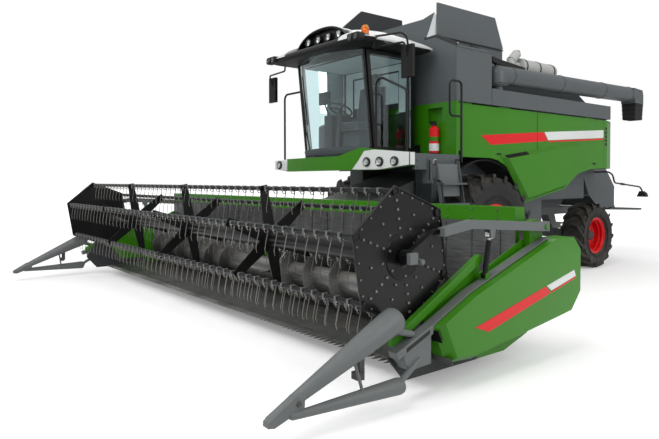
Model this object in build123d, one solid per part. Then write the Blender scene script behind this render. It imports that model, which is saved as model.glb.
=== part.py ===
from build123d import *
import os
from math import asin, atan2, cos, degrees, hypot, pi, radians, sin

os.makedirs("parts", exist_ok=True)

# Combine harvester with its grain header, reel and folded unloading tube.
# Sizes are millimetres. X points to the machine's left, Y to its rear and Z up.
# The ground is Z = 0 and the front axle stands over Y = 0.

# Clearances
GAP = 0.3
RUNNING = 6
PLAY = 12

# Wheels
FRONT_TYRE_R = 900
FRONT_TYRE_W = 650
FRONT_RIM_R = 420
FRONT_TRACK_X = 1370
FRONT_LUGS = 18
FRONT_TYRE_SIDES = 24
FRONT_LUG_H = 45
FRONT_LUG_W = 62
REAR_TYRE_R = 625
REAR_TYRE_W = 460
REAR_RIM_R = 325
REAR_TRACK_X = 1200
REAR_LUGS = 16
REAR_TYRE_SIDES = 20
REAR_LUG_H = 36
REAR_LUG_W = 46
REAR_AXLE_Y = 3570
RIM_SHEET = 14
FRONT_SPINDLE_R = 95
REAR_SPINDLE_R = 45
HUB_WALL = 55
KINGPIN_X = REAR_TRACK_X - 340
KINGPIN_R = 28
KNUCKLE_R = 58
KNUCKLE_H = 230
FORK_T = 40
FORK_Y = 58

# Chassis and threshing body
RAIL_X = 460
RAIL_W = 80
RAIL_Z0 = 1000
RAIL_H = 140
RAIL_FRONT_Y = -280
RAIL_REAR_Y = 4300
TYRE_ROOM = 95
BODY_X = FRONT_TRACK_X - FRONT_TYRE_W / 2 - TYRE_ROOM
BODY_FRONT_Y = -700
BODY_REAR_Y = 3900
BODY_TOP_Z = 2550
BODY_STEP_Z = 1330
SIDE_BOX_X = 1080
SIDE_BOX_FRONT_Y = 1000
SIDE_BOX_REAR_Y = 2150
SIDE_BOX_Z0 = 820

# Green panels
PANEL_X = 1460
PANEL_T = 30
PANEL_FRONT_Y = -740
PANEL_REAR_Y = 3660
PANEL_TOP_Z = 2845
PANEL_HINGE_R = 12
PANEL_HINGE_X = 1445
TANK_FLOOR_Z = 2865
PANEL_HINGE_Z = TANK_FLOOR_Z - PANEL_HINGE_R - GAP
PANEL_ARCH_R = 1150
PANEL_LOW_FRONT = (1000, 1320)
BULGE_T = 75
FRONT_WALL_Y = -800
FRONT_WALL_T = 40
FRONT_WALL_BOTTOM_Z = 2050
RECESS_X0 = 960
RECESS_X1 = 1240
RECESS_Z0 = 2560
RECESS_Z1 = 2790
REAR_FACE_Y = 4450

# Grain tank
TANK_WALL = 8
TANK_X = 1500
TANK_FRONT_Y = -795
TANK_STEP_Y = 50
TANK_REAR_Y = 900
TANK_SHOULDER_Z = 3660
TANK_TOP_Z = 3870
TANK_NECK_X = 1100
EXTENSION_TOP_Z = 4180
EXTENSION_X = 910
EAR_LEAN = 170
LID_T = 30
LID_HINGE_R = 12
COVER_X0 = -120
COVER_X1 = 580
LEFT_LID_H = TANK_NECK_X - COVER_X1 - 25 - PLAY
RIGHT_LID_H = TANK_NECK_X + COVER_X0 - 25 - PLAY

# Engine compartment
ENGINE_FRONT_Y = 1500
ENGINE_REAR_Y = 2700
ENGINE_X = 500
ENGINE_H = 850
DECK_REAR_Y = 3850
DECK_TOP_Z = 3560
DECK_STRIP_H = 255
LOUVRES = 8
LOUVRE_PITCH = 110
CLEANER_X = 800
CLEANER_Z = 3760
CLEANER_R = 150
CLEANER_FRONT_Y = 1810
CLEANER_REAR_Y = 2880

# Unloading tube
UNLOADER_X = 1400
UNLOADER_Y = 330
UNLOADER_R = 150
UNLOADER_FRONT_Z = 3370
UNLOADER_REAR_Z = 3440
UNLOADER_REAR_Y = 5160
TURRET_TOP_Z = 3180
TURRET_R = 88

# Straw hood and rear end
HOOD_X = BODY_X - 50
HOOD_WALL = 8
HOOD_TOP_Z = 2380
HOOD_REAR_Y = 5300
BOARD_REAR_Y = 5690
BOARD_FRONT_Y = 5200
BOARD_TOP_Z = 1090
BOARD_T = 40
HITCH_X = 90
HITCH_BORE_R = 16
HITCH_Z = 700
HITCH_Y = 4720

# Cab
CAB_X = 780
CAB_REAR_Y = -960
CAB_FRONT_Y = -1800
CAB_FRONT_LEAN = 160
CAB_FLOOR_Z = 2120
CAB_BASE_Z = 1990
CAB_TOP_Z = 3600
CAB_GLASS_BULGE = 200
PILLAR = 60
CAB_WALL = 40
REAR_WINDOW_X = 520
REAR_WINDOW_Z0 = 2750
REAR_WINDOW_Z1 = 3400
GLASS_T = 6
DOOR_T = 40
DOOR_FRAME = 55
DOOR_HINGE_R = 14
ROOF_X = 1150
ROOF_FRONT_Y = -2350
ROOF_REAR_Y = -880
ROOF_TOP_Z = 4030
VISOR_X = 640
VISOR_Y = -2060
VISOR_Z = 3700
VISOR_LAMP_R = 62
ROOF_LAMP_R = 55
BEACON_R = 55
PLATFORM_X1 = 1600
PLATFORM_Z = 2000
PLATFORM_T = 70
FASCIA_Z = 1850
BUMPER_END_Y = -1900
BUMPER_BOW = 200
BUMPER_T = 90
BUMPER_X = 1620
BUMPER_LAMP_R = 58
BUMPER_Z0 = 1850
BUMPER_Z1 = 2060
RAIL_TUBE_R = 17
BOTTLE_R = 75
GUARD_X0 = 1035
GUARD_Y0 = -1962
GUARD_X1 = 1520
GUARD_Y1 = -1863
LADDER_X = 1640
LADDER_Y = -1500
LADDER_W = 520
LADDER_BOTTOM_Z = 480
LADDER_LEAN = 260
STEPS = 5

# Feederhouse and header
FEEDER_X = 580
FEEDER_PIVOT_Y = -350
FEEDER_PIVOT_Z = 1750
FEEDER_PIN_R = 60
LIFT_BASE_Y = -250
LIFT_BASE_Z = 560
LIFT_EYE_Y = -1900
LIFT_EYE_Z = 420
LIFT_X = 500
LIFT_BARREL_R = 60
LIFT_ROD_R = 32
LIFT_PIN_R = 25
LUG_X = 40
EYE_DRIFT = 10
EYE_WALL = 14
HEADER_X = 3800
END_SHEET = 12
END_COVER_X0 = 3830
END_COVER_X1 = 4030
KNIFE_Y = -4020
KNIFE_Z = 150
GUARD_PITCH = 76.2
GUARD_LENGTH = 95
GUARD_W = 26
GUARD_T = 16
AUGER_Y = -3150
AUGER_Z = 470
AUGER_R = 305
AUGER_CORE_R = 155
AUGER_STUB_R = 40
AUGER_PITCH = 500
FLIGHT_T = 8
FLIGHT_STEPS = 12
FINGER_ZONE = 560
TROUGH_R = 335
PAN_T = 8
BACK_WALL_Y = -2815
BACK_TOP_Z = 1450
BEAM = 150
FEED_OPENING_X = 540
FEED_OPENING_Z0 = 260
FEED_OPENING_Z1 = 960
DIVIDER_TIP_Y = -5690
DIVIDER_X = 3895

# Reel
REEL_X = 3770
REEL_Y = -4300
REEL_Z = 1104
REEL_R = 530
REEL_TURN = -9.5
REEL_BARS = 6
REEL_BAR_R = 21
REEL_TUBE_R = 85
REEL_PLATE_T = 8
REEL_SPIDERS = 3
TINE_PITCH = 150
TINE_LENGTH = 250
TINE_T = 8
ARM_X = 3910
ARM_W = 70
ARM_PIVOT_Y = -2520
ARM_PIVOT_Z = 1260
ARM_FRONT_Y = -4000
ARM_FRONT_Z = 1290
ARM_BEND_Y = -3640
ARM_BEND_Z = 1337
CARRIAGE_STROKE = 150
ARM_PIN_R = 25
REEL_LIFT_BASE_Y = -3430
REEL_LIFT_BASE_Z = 880
REEL_LIFT_EYE_Y = -3360
REEL_LIFT_EYE_Z = 1235
REEL_SHAFT_R = 30


def block(x0, x1, y0, y1, z0, z1):
    """Box between two corners."""
    return Pos((x0 + x1) / 2, (y0 + y1) / 2, (z0 + z1) / 2) * Box(x1 - x0, y1 - y0, z1 - z0)


def side_plate(points, x0, x1):
    """Outline of (y, z) points pulled from x0 to x1."""
    outline = Polyline(*[(x0, y, z) for y, z in points], close=True)
    return extrude(make_face(outline), amount=x1 - x0, dir=(1, 0, 0))


def front_plate(points, y0, y1):
    """Outline of (x, z) points pulled from y0 to y1."""
    outline = Polyline(*[(x, y0, z) for x, z in points], close=True)
    return extrude(make_face(outline), amount=y1 - y0, dir=(0, 1, 0))


def plan_plate(points, z0, z1):
    """Outline of (x, y) points pulled from z0 to z1."""
    outline = Polyline(*[(x, y, z0) for x, y in points], close=True)
    return extrude(make_face(outline), amount=z1 - z0, dir=(0, 0, 1))


def rod(start, end, radius):
    """Round bar between two points."""
    run = Vector(*end) - Vector(*start)
    return Solid.make_cylinder(radius, run.length, Plane(origin=start, z_dir=run))


def cone(start, end, start_r, end_r):
    """Tapered round bar between two points."""
    run = Vector(*end) - Vector(*start)
    return Solid.make_cone(start_r, end_r, run.length, Plane(origin=start, z_dir=run))


def bent_tube(points, radius, bend):
    """Tube along straight runs joined by arcs."""
    path = FilletPolyline(*points, radius=bend)
    section = Plane(origin=path @ 0, z_dir=path % 0) * Circle(radius)
    return sweep(section, path=path)


def wheel_ring(profile, x, y, z):
    """Ring turned about an axle along X, from (x, r) points round (x, y, z)."""
    outline = Polyline(*[(a, 0, r) for a, r in profile], close=True)
    return Pos(x, y, z) * revolve(make_face(outline), Axis.X, 360)


def drum(x0, x1, y, z, radius, bore=0):
    """Cylinder along X, with a bore where one is given."""
    body = rod((x0, y, z), (x1, y, z), radius)
    if bore:
        body = body - rod((x0 - 1, y, z), (x1 + 1, y, z), bore)
    return body


def both_sides(piece):
    """A left piece and its mirror image on the right."""
    return [piece, mirror(piece, about=Plane.YZ)]


def put(name, *pieces):
    """Write one named node from its solids."""
    solids = [solid for piece in pieces for solid in piece.solids()]
    export_step(Compound(children=solids) if len(solids) > 1 else solids[0], f"parts/{name}.step")


def faceted_ring(section, sides):
    """Ring with flat sides round the X axis, from the (x, r) corners of its section."""

    def corner(x, r, index):
        turn = 2 * pi * index / sides
        return Vector(x, r * sin(turn), r * cos(turn))

    faces = []
    for (x0, r0), (x1, r1) in zip(section, section[1:] + section[:1]):
        for index in range(sides):
            near = [corner(x0, r0, index), corner(x1, r1, index)]
            far = [corner(x1, r1, index + 1), corner(x0, r0, index + 1)]
            faces.append(Face(Wire.make_polygon(near + far, close=True)))
    return Solid(Shell(faces))


def tyre(radius, width, rim_r, sides, lugs, lug_h, lug_w):
    """Farm tyre round the X axis: a flat-sided carcass with a chevron lug at each step of its tread."""
    seat = 0.36 * width
    shoulder = 0.45 * width
    crown = 0.30 * width
    edge = 0.49 * width
    start = -0.03 * width
    base = radius - lug_h
    drop = 0.045 * radius
    bead = (rim_r + GAP) / cos(pi / sides)
    half = [(seat, bead), (seat, rim_r + 28), (0.5 * width, (rim_r + base) / 2), (shoulder, base - drop), (crown, base)]
    carcass = faceted_ring([(-x, r) for x, r in half] + half[::-1], sides)
    sweep_y = 0.42 * width
    run = (crown - start) / (edge - start)
    low_y = -(run * sweep_y + 0.2 * run * lug_w) / 2
    reach = lug_w / 2 - low_y
    top = (radius**2 - reach**2) ** 0.5
    profile = [(start, top), (crown, top), (edge, top - 1.4 * drop), (edge, base - 2.9 * drop)]
    profile += [(0.9 * shoulder, base - 2 * drop), (start, base - 0.7 * drop)]
    plan = [(start, low_y - lug_w / 2), (start, low_y + lug_w / 2)]
    plan += [(edge, low_y + sweep_y + 0.7 * lug_w), (edge, low_y + sweep_y - 0.7 * lug_w)]
    bar = front_plate(profile, -width, width) & plan_plate(plan, 0.5 * radius, 1.1 * radius)
    bars = []
    for index in range(lugs):
        bars.append(Rot(360 * index / lugs, 0, 0) * bar)
        bars.append(Rot(360 * (index + 0.5) / lugs, 0, 0) * mirror(bar, about=Plane.YZ))
    rubber = carcass.fuse(*[solid for piece in bars for solid in piece.solids()])
    return Rot(-degrees(asin(reach / radius)), 0, 0) * rubber


def rim(width, rim_r, spindle_r, spindle_end):
    """Deep-dish wheel rim round the X axis, its hub bored for the spindle."""
    seat = 0.36 * width
    inner = rim_r - RIM_SHEET
    hub_r = spindle_r + HUB_WALL
    barrel = wheel_ring([(-seat, inner), (-seat, rim_r), (seat, rim_r), (seat, inner)], 0, 0, 0)
    flange = [(seat, inner), (seat, rim_r + 22), (seat + 12, rim_r + 22), (seat + 12, inner)]
    rings = [wheel_ring(flange, 0, 0, 0), wheel_ring([(-x, r) for x, r in flange], 0, 0, 0)]
    disc = [(30, hub_r + 60), (30, hub_r - 2), (12, hub_r - 2), (12, hub_r + 60)]
    dish = wheel_ring([(-30, inner + 2), (-12, inner + 2)] + disc, 0, 0, 0)
    hub = drum(-90, spindle_end + 25, 0, 0, hub_r) - drum(-91, spindle_end + 5, 0, 0, spindle_r + GAP)
    return barrel.fuse(*rings, dish, hub)


def wheels():
    """Tyres and rims of both axles."""
    front_tread = (FRONT_TYRE_SIDES, FRONT_LUGS, FRONT_LUG_H, FRONT_LUG_W)
    rear_tread = (REAR_TYRE_SIDES, REAR_LUGS, REAR_LUG_H, REAR_LUG_W)
    table = (
        # name, tyre radius, width, rim radius, centre x, axle y, tread (sides, lugs, lug height, width), spindle
        ("front", FRONT_TYRE_R, FRONT_TYRE_W, FRONT_RIM_R, FRONT_TRACK_X, 0, front_tread, FRONT_SPINDLE_R),
        ("rear", REAR_TYRE_R, REAR_TYRE_W, REAR_RIM_R, REAR_TRACK_X, REAR_AXLE_Y, rear_tread, REAR_SPINDLE_R),
    )
    for name, radius, width, rim_r, x, y, tread, spindle_r in table:
        rubber = Pos(x, y, radius) * tyre(radius, width, rim_r, *tread)
        steel = Pos(x, y, radius) * rim(width, rim_r, spindle_r, 20)
        for side, tyre_piece, rim_piece in zip(("left", "right"), both_sides(rubber), both_sides(steel)):
            put(f"{name}_tyre_{side}", tyre_piece)
            put(f"{name}_rim_{side}", rim_piece)


def front_axle():
    """Drive axle: a beam, its gearbox and a final drive with spindle at each wheel."""
    z = FRONT_TYRE_R
    gearbox = drum(-190, 190, 60, z - 10, 210)
    final_in = FRONT_TRACK_X - 0.36 * FRONT_TYRE_W - 380
    beam_x = final_in + 44
    beam = block(-beam_x, beam_x, -110, 110, z - 110, z + 90)
    final_out = FRONT_TRACK_X - 140
    sides = []
    for piece in (
        drum(final_in, final_out, 0, z, 195),
        drum(final_out - 1, FRONT_TRACK_X + 20, 0, z, FRONT_SPINDLE_R),
        block(RAIL_X, RAIL_X + RAIL_W, -130, 130, z + 60, RAIL_Z0),
    ):
        sides += both_sides(piece)
    put("front_axle", beam.fuse(gearbox, *sides))


def rear_axle():
    """Steered axle beam with a fork and a kingpin at each end, and the two knuckles."""
    z = REAR_TYRE_R
    y = REAR_AXLE_Y
    inner = KINGPIN_X - KNUCKLE_R - PLAY
    fork_z = KNUCKLE_H / 2 + RUNNING
    beam = side_plate([(y - 80, z - 85), (y + 80, z - 85), (y + 80, z + 85), (y - 80, z + 85)], -inner, inner)
    cheek = block(inner - FORK_T, inner, y - FORK_Y, y + FORK_Y, z - fork_z - FORK_T, z + fork_z + FORK_T)
    sides = both_sides(cheek)
    for low, high in ((z - fork_z - FORK_T, z - fork_z), (z + fork_z, z + fork_z + FORK_T)):
        lug = block(inner - 5, KINGPIN_X, y - FORK_Y, y + FORK_Y, low, high)
        eye = rod((KINGPIN_X, y, low), (KINGPIN_X, y, high), FORK_Y)
        sides += both_sides(lug.fuse(eye))
    sides += both_sides(rod((KINGPIN_X, y, z - fork_z - 5), (KINGPIN_X, y, z + fork_z + 5), KINGPIN_R))
    hanger = side_plate([(y - 130, RAIL_Z0), (y + 130, RAIL_Z0), (y + 70, z + 80), (y - 70, z + 80)], -150, 150)
    put("rear_axle", beam.fuse(hanger, *sides))
    sleeve = rod((KINGPIN_X, y, z - KNUCKLE_H / 2), (KINGPIN_X, y, z + KNUCKLE_H / 2), KNUCKLE_R)
    spindle = drum(KINGPIN_X, REAR_TRACK_X + 20, y, z, REAR_SPINDLE_R)
    arm = block(KINGPIN_X - 22, KINGPIN_X + 22, y + 20, y + 190, z - KNUCKLE_H / 2, z - KNUCKLE_H / 2 + 30)
    bore = rod((KINGPIN_X, y, z - 400), (KINGPIN_X, y, z + 400), KINGPIN_R + GAP)
    knuckle = sleeve.fuse(spindle, arm) - bore
    for side, piece in zip(("left", "right"), both_sides(knuckle)):
        put(f"knuckle_{side}", piece)


def chassis():
    """Two long rails with cross members, and the towing clevis at the rear."""
    rails = both_sides(block(RAIL_X, RAIL_X + RAIL_W, RAIL_FRONT_Y, RAIL_REAR_Y, RAIL_Z0, RAIL_Z0 + RAIL_H))
    members = []
    for y, depth in ((RAIL_FRONT_Y, 90), (1500, 90), (REAR_AXLE_Y - 130, 260), (RAIL_REAR_Y - 90, 90)):
        members.append(block(-RAIL_X - 5, RAIL_X + 5, y, y + depth, RAIL_Z0, RAIL_Z0 + RAIL_H))
    posts = []
    for x in (RAIL_X, RAIL_X + RAIL_W - 12):
        outline = [
            (LIFT_BASE_Y - 100, RAIL_Z0 + 5),
            (LIFT_BASE_Y - 60, LIFT_BASE_Z - 60),
            (LIFT_BASE_Y + 60, LIFT_BASE_Z - 60),
            (LIFT_BASE_Y + 100, RAIL_Z0 + 5),
        ]
        posts += both_sides(side_plate(outline, x, x + 12))
    posts += both_sides(drum(RAIL_X, RAIL_X + RAIL_W, LIFT_BASE_Y, LIFT_BASE_Z, 25))
    put("chassis_frame", rails[0].fuse(rails[1], *members, *posts))
    top = RAIL_Z0 - GAP
    outline = [(RAIL_REAR_Y, top), (RAIL_REAR_Y - 300, top), (RAIL_REAR_Y - 40, HITCH_Z - 60)]
    outline += [(HITCH_Y, HITCH_Z - 60), (HITCH_Y, HITCH_Z + 60), (RAIL_REAR_Y + 90, HITCH_Z + 60)]
    arm = side_plate(outline, -HITCH_X, HITCH_X)
    slot = block(-HITCH_X - 1, HITCH_X + 1, HITCH_Y - 150, HITCH_Y + 1, HITCH_Z - 25, HITCH_Z + 25)
    bore = rod((0, HITCH_Y - 50, HITCH_Z - 100), (0, HITCH_Y - 50, HITCH_Z + 100), HITCH_BORE_R)
    put("tow_hitch", arm - slot - bore)


def threshing_body():
    """Closed steel body on the rails, recessed in front for the feederhouse."""
    upper = block(-BODY_X, BODY_X, BODY_FRONT_Y, BODY_REAR_Y, BODY_STEP_Z, BODY_TOP_Z)
    low = RAIL_Z0 + RAIL_H + GAP
    high = BODY_STEP_Z + 5
    keel_x = RAIL_X + RAIL_W
    keel = side_plate([(-60, low), (BODY_REAR_Y - 200, low), (BODY_REAR_Y, high), (-300, high)], -keel_x, keel_x)
    boxes = both_sides(block(BODY_X - 200, SIDE_BOX_X, SIDE_BOX_FRONT_Y, SIDE_BOX_REAR_Y, SIDE_BOX_Z0, BODY_STEP_Z + 400))
    mouth = block(-FEEDER_X - 40, FEEDER_X + 40, BODY_FRONT_Y - 1, -40, RAIL_Z0, 1960)
    body = upper.fuse(keel, *boxes) - mouth
    pins = both_sides(drum(FEEDER_X + 11 + GAP, FEEDER_X + 45, FEEDER_PIVOT_Y, FEEDER_PIVOT_Z, FEEDER_PIN_R))
    put("threshing_body", body.fuse(*pins))


def engine():
    """Engine block on the body, the deck over it and the air cleaner on top."""
    block_z = BODY_TOP_Z + GAP
    put("engine_block", block(-ENGINE_X, ENGINE_X, ENGINE_FRONT_Y, ENGINE_REAR_Y, block_z, BODY_TOP_Z + ENGINE_H))
    low_x = PANEL_X - PANEL_T - PLAY
    strip_z = TANK_FLOOR_Z + DECK_STRIP_H
    neck_x = TANK_NECK_X - 60
    half = [(low_x, block_z), (low_x, TANK_FLOOR_Z), (TANK_X, TANK_FLOOR_Z), (TANK_X, strip_z)]
    half += [(TANK_NECK_X, strip_z + 30), (neck_x, DECK_TOP_Z)]
    front_y = TANK_REAR_Y + GAP
    shell = front_plate(half + [(-x, z) for x, z in half[::-1]], front_y, DECK_REAR_Y)
    over_z = DECK_TOP_Z + 1
    rear_y = DECK_REAR_Y + 1
    slope = side_plate([(ENGINE_REAR_Y + 400, over_z), (rear_y, over_z), (rear_y, strip_z)], -TANK_X - 1, TANK_X + 1)
    cowl_room = block(-TANK_X - 1, TANK_X + 1, PANEL_REAR_Y - PLAY, rear_y, BODY_TOP_Z - 1, PANEL_TOP_Z + GAP)
    hollow_x = neck_x - 100
    hollow = block(-hollow_x, hollow_x, front_y + 100, PANEL_REAR_Y - 150, BODY_TOP_Z - 1, DECK_TOP_Z - 60)
    low_slope = [(ENGINE_REAR_Y + 300, over_z), (rear_y, over_z), (rear_y, strip_z - 160)]
    hollow = hollow - side_plate(low_slope, -TANK_X, TANK_X)
    apron = block(TANK_X - TANK_WALL, TANK_X, TANK_STEP_Y + PLAY, front_y + 5, TANK_FLOOR_Z, strip_z)
    slots = []
    for index in range(LOUVRES):
        y = CLEANER_FRONT_Y + index * LOUVRE_PITCH
        slots.append(block(-neck_x + 60, CLEANER_X - CLEANER_R - 200, y, y + LOUVRE_PITCH / 2, DECK_TOP_Z - 25, over_z))
    put("engine_deck", shell.fuse(apron) - slope - cowl_room - hollow - slots)
    seat_z = DECK_TOP_Z + GAP
    barrel = rod((CLEANER_X, CLEANER_FRONT_Y, CLEANER_Z), (CLEANER_X, CLEANER_REAR_Y, CLEANER_Z), CLEANER_R)
    stack = rod((CLEANER_X, CLEANER_FRONT_Y - 210, seat_z), (CLEANER_X, CLEANER_FRONT_Y - 210, 3880), 70)
    elbow = rod((CLEANER_X, CLEANER_FRONT_Y - 210, 3840), (CLEANER_X, CLEANER_FRONT_Y - 40, 3985), 85)
    duct = block(CLEANER_X - 130, CLEANER_X + 130, TANK_REAR_Y + 120, CLEANER_FRONT_Y - 120, seat_z, CLEANER_Z)
    feet = []
    for y in (CLEANER_FRONT_Y + 200, CLEANER_REAR_Y - 260):
        feet.append(block(CLEANER_X - 60, CLEANER_X + 60, y, y + 60, seat_z, CLEANER_Z - 60))
    x0 = CLEANER_X - 50
    neck = block(x0, x0 + 100, CLEANER_FRONT_Y - 150, CLEANER_FRONT_Y + 5, CLEANER_Z - 60, CLEANER_Z + 60)
    put("air_cleaner", barrel.fuse(stack, elbow, duct, neck, *feet))


def panel_outline():
    """Side panel seen from the left, as (y, z) points with the wheel arch as a fan of points."""
    points = [(PANEL_REAR_Y, PANEL_TOP_Z), (PANEL_FRONT_Y, PANEL_TOP_Z), (PANEL_FRONT_Y, FRONT_WALL_BOTTOM_Z)]
    start = degrees(atan2(FRONT_WALL_BOTTOM_Z - FRONT_TYRE_R, 0))
    for angle in (start - 5, 75, 60, 45, 30):
        points.append((PANEL_ARCH_R * cos(radians(angle)), FRONT_TYRE_R + PANEL_ARCH_R * sin(radians(angle))))
    points += [PANEL_LOW_FRONT, (2270, 1550), (2720, 1810), (3160, 1900), (PANEL_REAR_Y, 1920)]
    return points


def panels():
    """Hinged side panels, the fixed front wall and the rear cowl."""
    sheet = side_plate(panel_outline(), PANEL_X - PANEL_T, PANEL_X)
    low_y, low_z = PANEL_LOW_FRONT
    bulge_outline = [(340, 2090), (low_y + 10, low_z + 15), (2230, 1560), (2690, 1815), (3100, 2140), (2690, 2390)]
    bulge_face = make_face(Polyline(*[(PANEL_X - 1, y, z) for y, z in bulge_outline], close=True))
    bulge = extrude(bulge_face, amount=BULGE_T + 1, dir=(1, 0, 0), taper=40)
    hinges = []
    for y in (PANEL_FRONT_Y + 60, 300, PANEL_REAR_Y - 700):
        hinges.append(rod((PANEL_HINGE_X, y, PANEL_HINGE_Z), (PANEL_HINGE_X, y + 300, PANEL_HINGE_Z), PANEL_HINGE_R))
    for side, piece in zip(("left", "right"), both_sides(sheet.fuse(bulge, *hinges))):
        put(f"side_panel_{side}", piece)
    wall_top = TANK_FLOOR_Z - GAP
    y0 = FRONT_WALL_Y
    wall = block(CAB_X + 30, PANEL_X + 40, y0, y0 + FRONT_WALL_T, FRONT_WALL_BOTTOM_Z, wall_top)
    corner = block(PANEL_X, PANEL_X + 40, y0, PANEL_FRONT_Y - RUNNING, FRONT_WALL_BOTTOM_Z, wall_top)
    box = block(RECESS_X0 - 20, RECESS_X1 + 20, y0 + 5, y0 + 98, RECESS_Z0 - 20, RECESS_Z1 + 20)
    recess = block(RECESS_X0, RECESS_X1, y0 - 1, y0 + 80, RECESS_Z0, RECESS_Z1)
    left = wall.fuse(corner, box) - recess
    right = mirror(wall.fuse(corner), about=Plane.YZ)
    bridge = block(-CAB_X - 35, CAB_X + 35, y0, y0 + FRONT_WALL_T, BODY_TOP_Z - 300, wall_top)
    feet = both_sides(block(CAB_X + 60, BODY_X, y0 + FRONT_WALL_T - 5, BODY_FRONT_Y - GAP, 2150, 2240))
    put("front_wall", left.fuse(right, bridge, *feet))
    y1 = PANEL_REAR_Y + RUNNING
    plan = [(PANEL_X, y1), (PANEL_X, 3800), (1390, 4080), (1220, 4300), (HOOD_X + 40, REAR_FACE_Y - 30), (0, REAR_FACE_Y)]
    plan += [(-x, y) for x, y in plan[-2::-1]]
    inner = [(x * 0.975 if abs(x) > 1 else 0, y1 - 1 if y == y1 else y - 32) for x, y in plan]
    cowl = plan_plate(plan, 1920, PANEL_TOP_Z) - plan_plate(inner, 1800, PANEL_TOP_Z - 30)
    mouth = block(-HOOD_X - 5, HOOD_X + 5, BODY_REAR_Y, REAR_FACE_Y + 1, 1900, HOOD_TOP_Z + 5)
    put("rear_cowl", cowl - mouth)


def tank_profile(half_x, shoulder_z, neck_x, top_z, bottom_z):
    """Cross-section of the grain tank as (x, z) points."""
    left = [(half_x, bottom_z), (half_x, shoulder_z), (neck_x, top_z)]
    return left + [(-x, z) for x, z in left[::-1]]


def grain_tank():
    """Open grain tank, its front and rear extension panels, the cross cover and both lids."""
    w = TANK_WALL
    floor_z = TANK_FLOOR_Z
    outside = tank_profile(TANK_X, TANK_SHOULDER_Z, TANK_NECK_X, TANK_TOP_Z, floor_z)
    front = front_plate(outside, TANK_FRONT_Y, TANK_STEP_Y)
    inside = tank_profile(TANK_X - w, TANK_SHOULDER_Z - w / 2, TANK_NECK_X - w, TANK_TOP_Z + 20, floor_z + w)
    front_in = front_plate(inside, TANK_FRONT_Y + w, TANK_STEP_Y - w)
    neck = block(-TANK_X, TANK_NECK_X, TANK_STEP_Y - w, TANK_REAR_Y, floor_z, TANK_SHOULDER_Z)
    neck_top = block(-TANK_NECK_X, TANK_NECK_X, TANK_STEP_Y - w, TANK_REAR_Y, TANK_SHOULDER_Z - 1, TANK_TOP_Z)
    low = TANK_SHOULDER_Z - 1
    outline = [(-TANK_X, low), (-TANK_X, TANK_SHOULDER_Z), (-TANK_NECK_X, TANK_TOP_Z), (-TANK_NECK_X, low)]
    shoulder = front_plate(outline, TANK_STEP_Y - w, TANK_REAR_Y)
    neck_in = block(-TANK_NECK_X + w, TANK_NECK_X - w, TANK_FRONT_Y + w, TANK_REAR_Y - w, floor_z + w, TANK_TOP_Z + 20)
    pit_x = BODY_X - 40
    pit_y0 = TANK_FRONT_Y + 130
    pit_y1 = TANK_REAR_Y - 60
    pit = block(-pit_x, pit_x, pit_y0, pit_y1, BODY_TOP_Z + GAP, floor_z + 1)
    pit_in = block(-pit_x + w, pit_x - w, pit_y0 + w, pit_y1 - w, BODY_TOP_Z + w, floor_z + w + 2)
    shelf = block(TANK_NECK_X - 5, PANEL_X, TANK_STEP_Y - 5, TANK_REAR_Y, floor_z, floor_z + w)
    body = front.fuse(neck, neck_top, shoulder, pit, shelf) - front_in - neck_in - pit_in
    x = UNLOADER_X
    y = UNLOADER_Y
    turret = rod((x, y, floor_z + 1), (x, y, TURRET_TOP_Z), TURRET_R)
    put("grain_tank", body.fuse(turret))
    z0 = TANK_TOP_Z + GAP
    for_y = TANK_FRONT_Y
    top = EXTENSION_TOP_Z
    sheet = [(-EXTENSION_X, z0), (EXTENSION_X, z0), (EXTENSION_X + EAR_LEAN, top + 60), (EXTENSION_X - 60, top)]
    front_panel = front_plate(sheet + [(60 - EXTENSION_X, top), (-EXTENSION_X - EAR_LEAN, top + 60)], for_y, for_y + w)
    sheet = [(-EXTENSION_X, z0), (EXTENSION_X, z0), (EXTENSION_X, top), (-EXTENSION_X, top)]
    rear_panel = front_plate(sheet, TANK_REAR_Y - w, TANK_REAR_Y)
    roof = [(COVER_X0, z0), (COVER_X1, z0), (COVER_X1 - 120, z0 + 190), (COVER_X0 + 120, z0 + 190)]
    cover = front_plate(roof, for_y + w - 1, TANK_REAR_Y - w + 1)
    put("tank_extension", front_panel.fuse(rear_panel, cover))
    hinge_z = TANK_TOP_Z + LID_HINGE_R + GAP
    hinge_x = TANK_NECK_X - w / 2
    low = hinge_z + LID_HINGE_R
    front_y = TANK_FRONT_Y + w + PLAY
    rear_y = TANK_REAR_Y - w - PLAY
    hinge = rod((hinge_x, front_y + 40, hinge_z), (hinge_x, rear_y - 40, hinge_z), LID_HINGE_R)
    web = block(hinge_x, TANK_NECK_X + LID_T, front_y + 40, rear_y - 40, hinge_z, low + 10)
    top = low + LEFT_LID_H
    left = side_plate([(front_y, low), (rear_y, low), (650, top), (front_y, top)], TANK_NECK_X, TANK_NECK_X + LID_T)
    put("tank_lid_left", left.fuse(hinge, web))
    top = low + RIGHT_LID_H
    outline = [(front_y + 55, low), (rear_y, low), (rear_y - 90, top), (-280, top), (-720, top - 355)]
    right = side_plate(outline, -TANK_NECK_X - LID_T, -TANK_NECK_X)
    put("tank_lid_right", right.fuse(mirror(hinge.fuse(web), about=Plane.YZ)))


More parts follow.
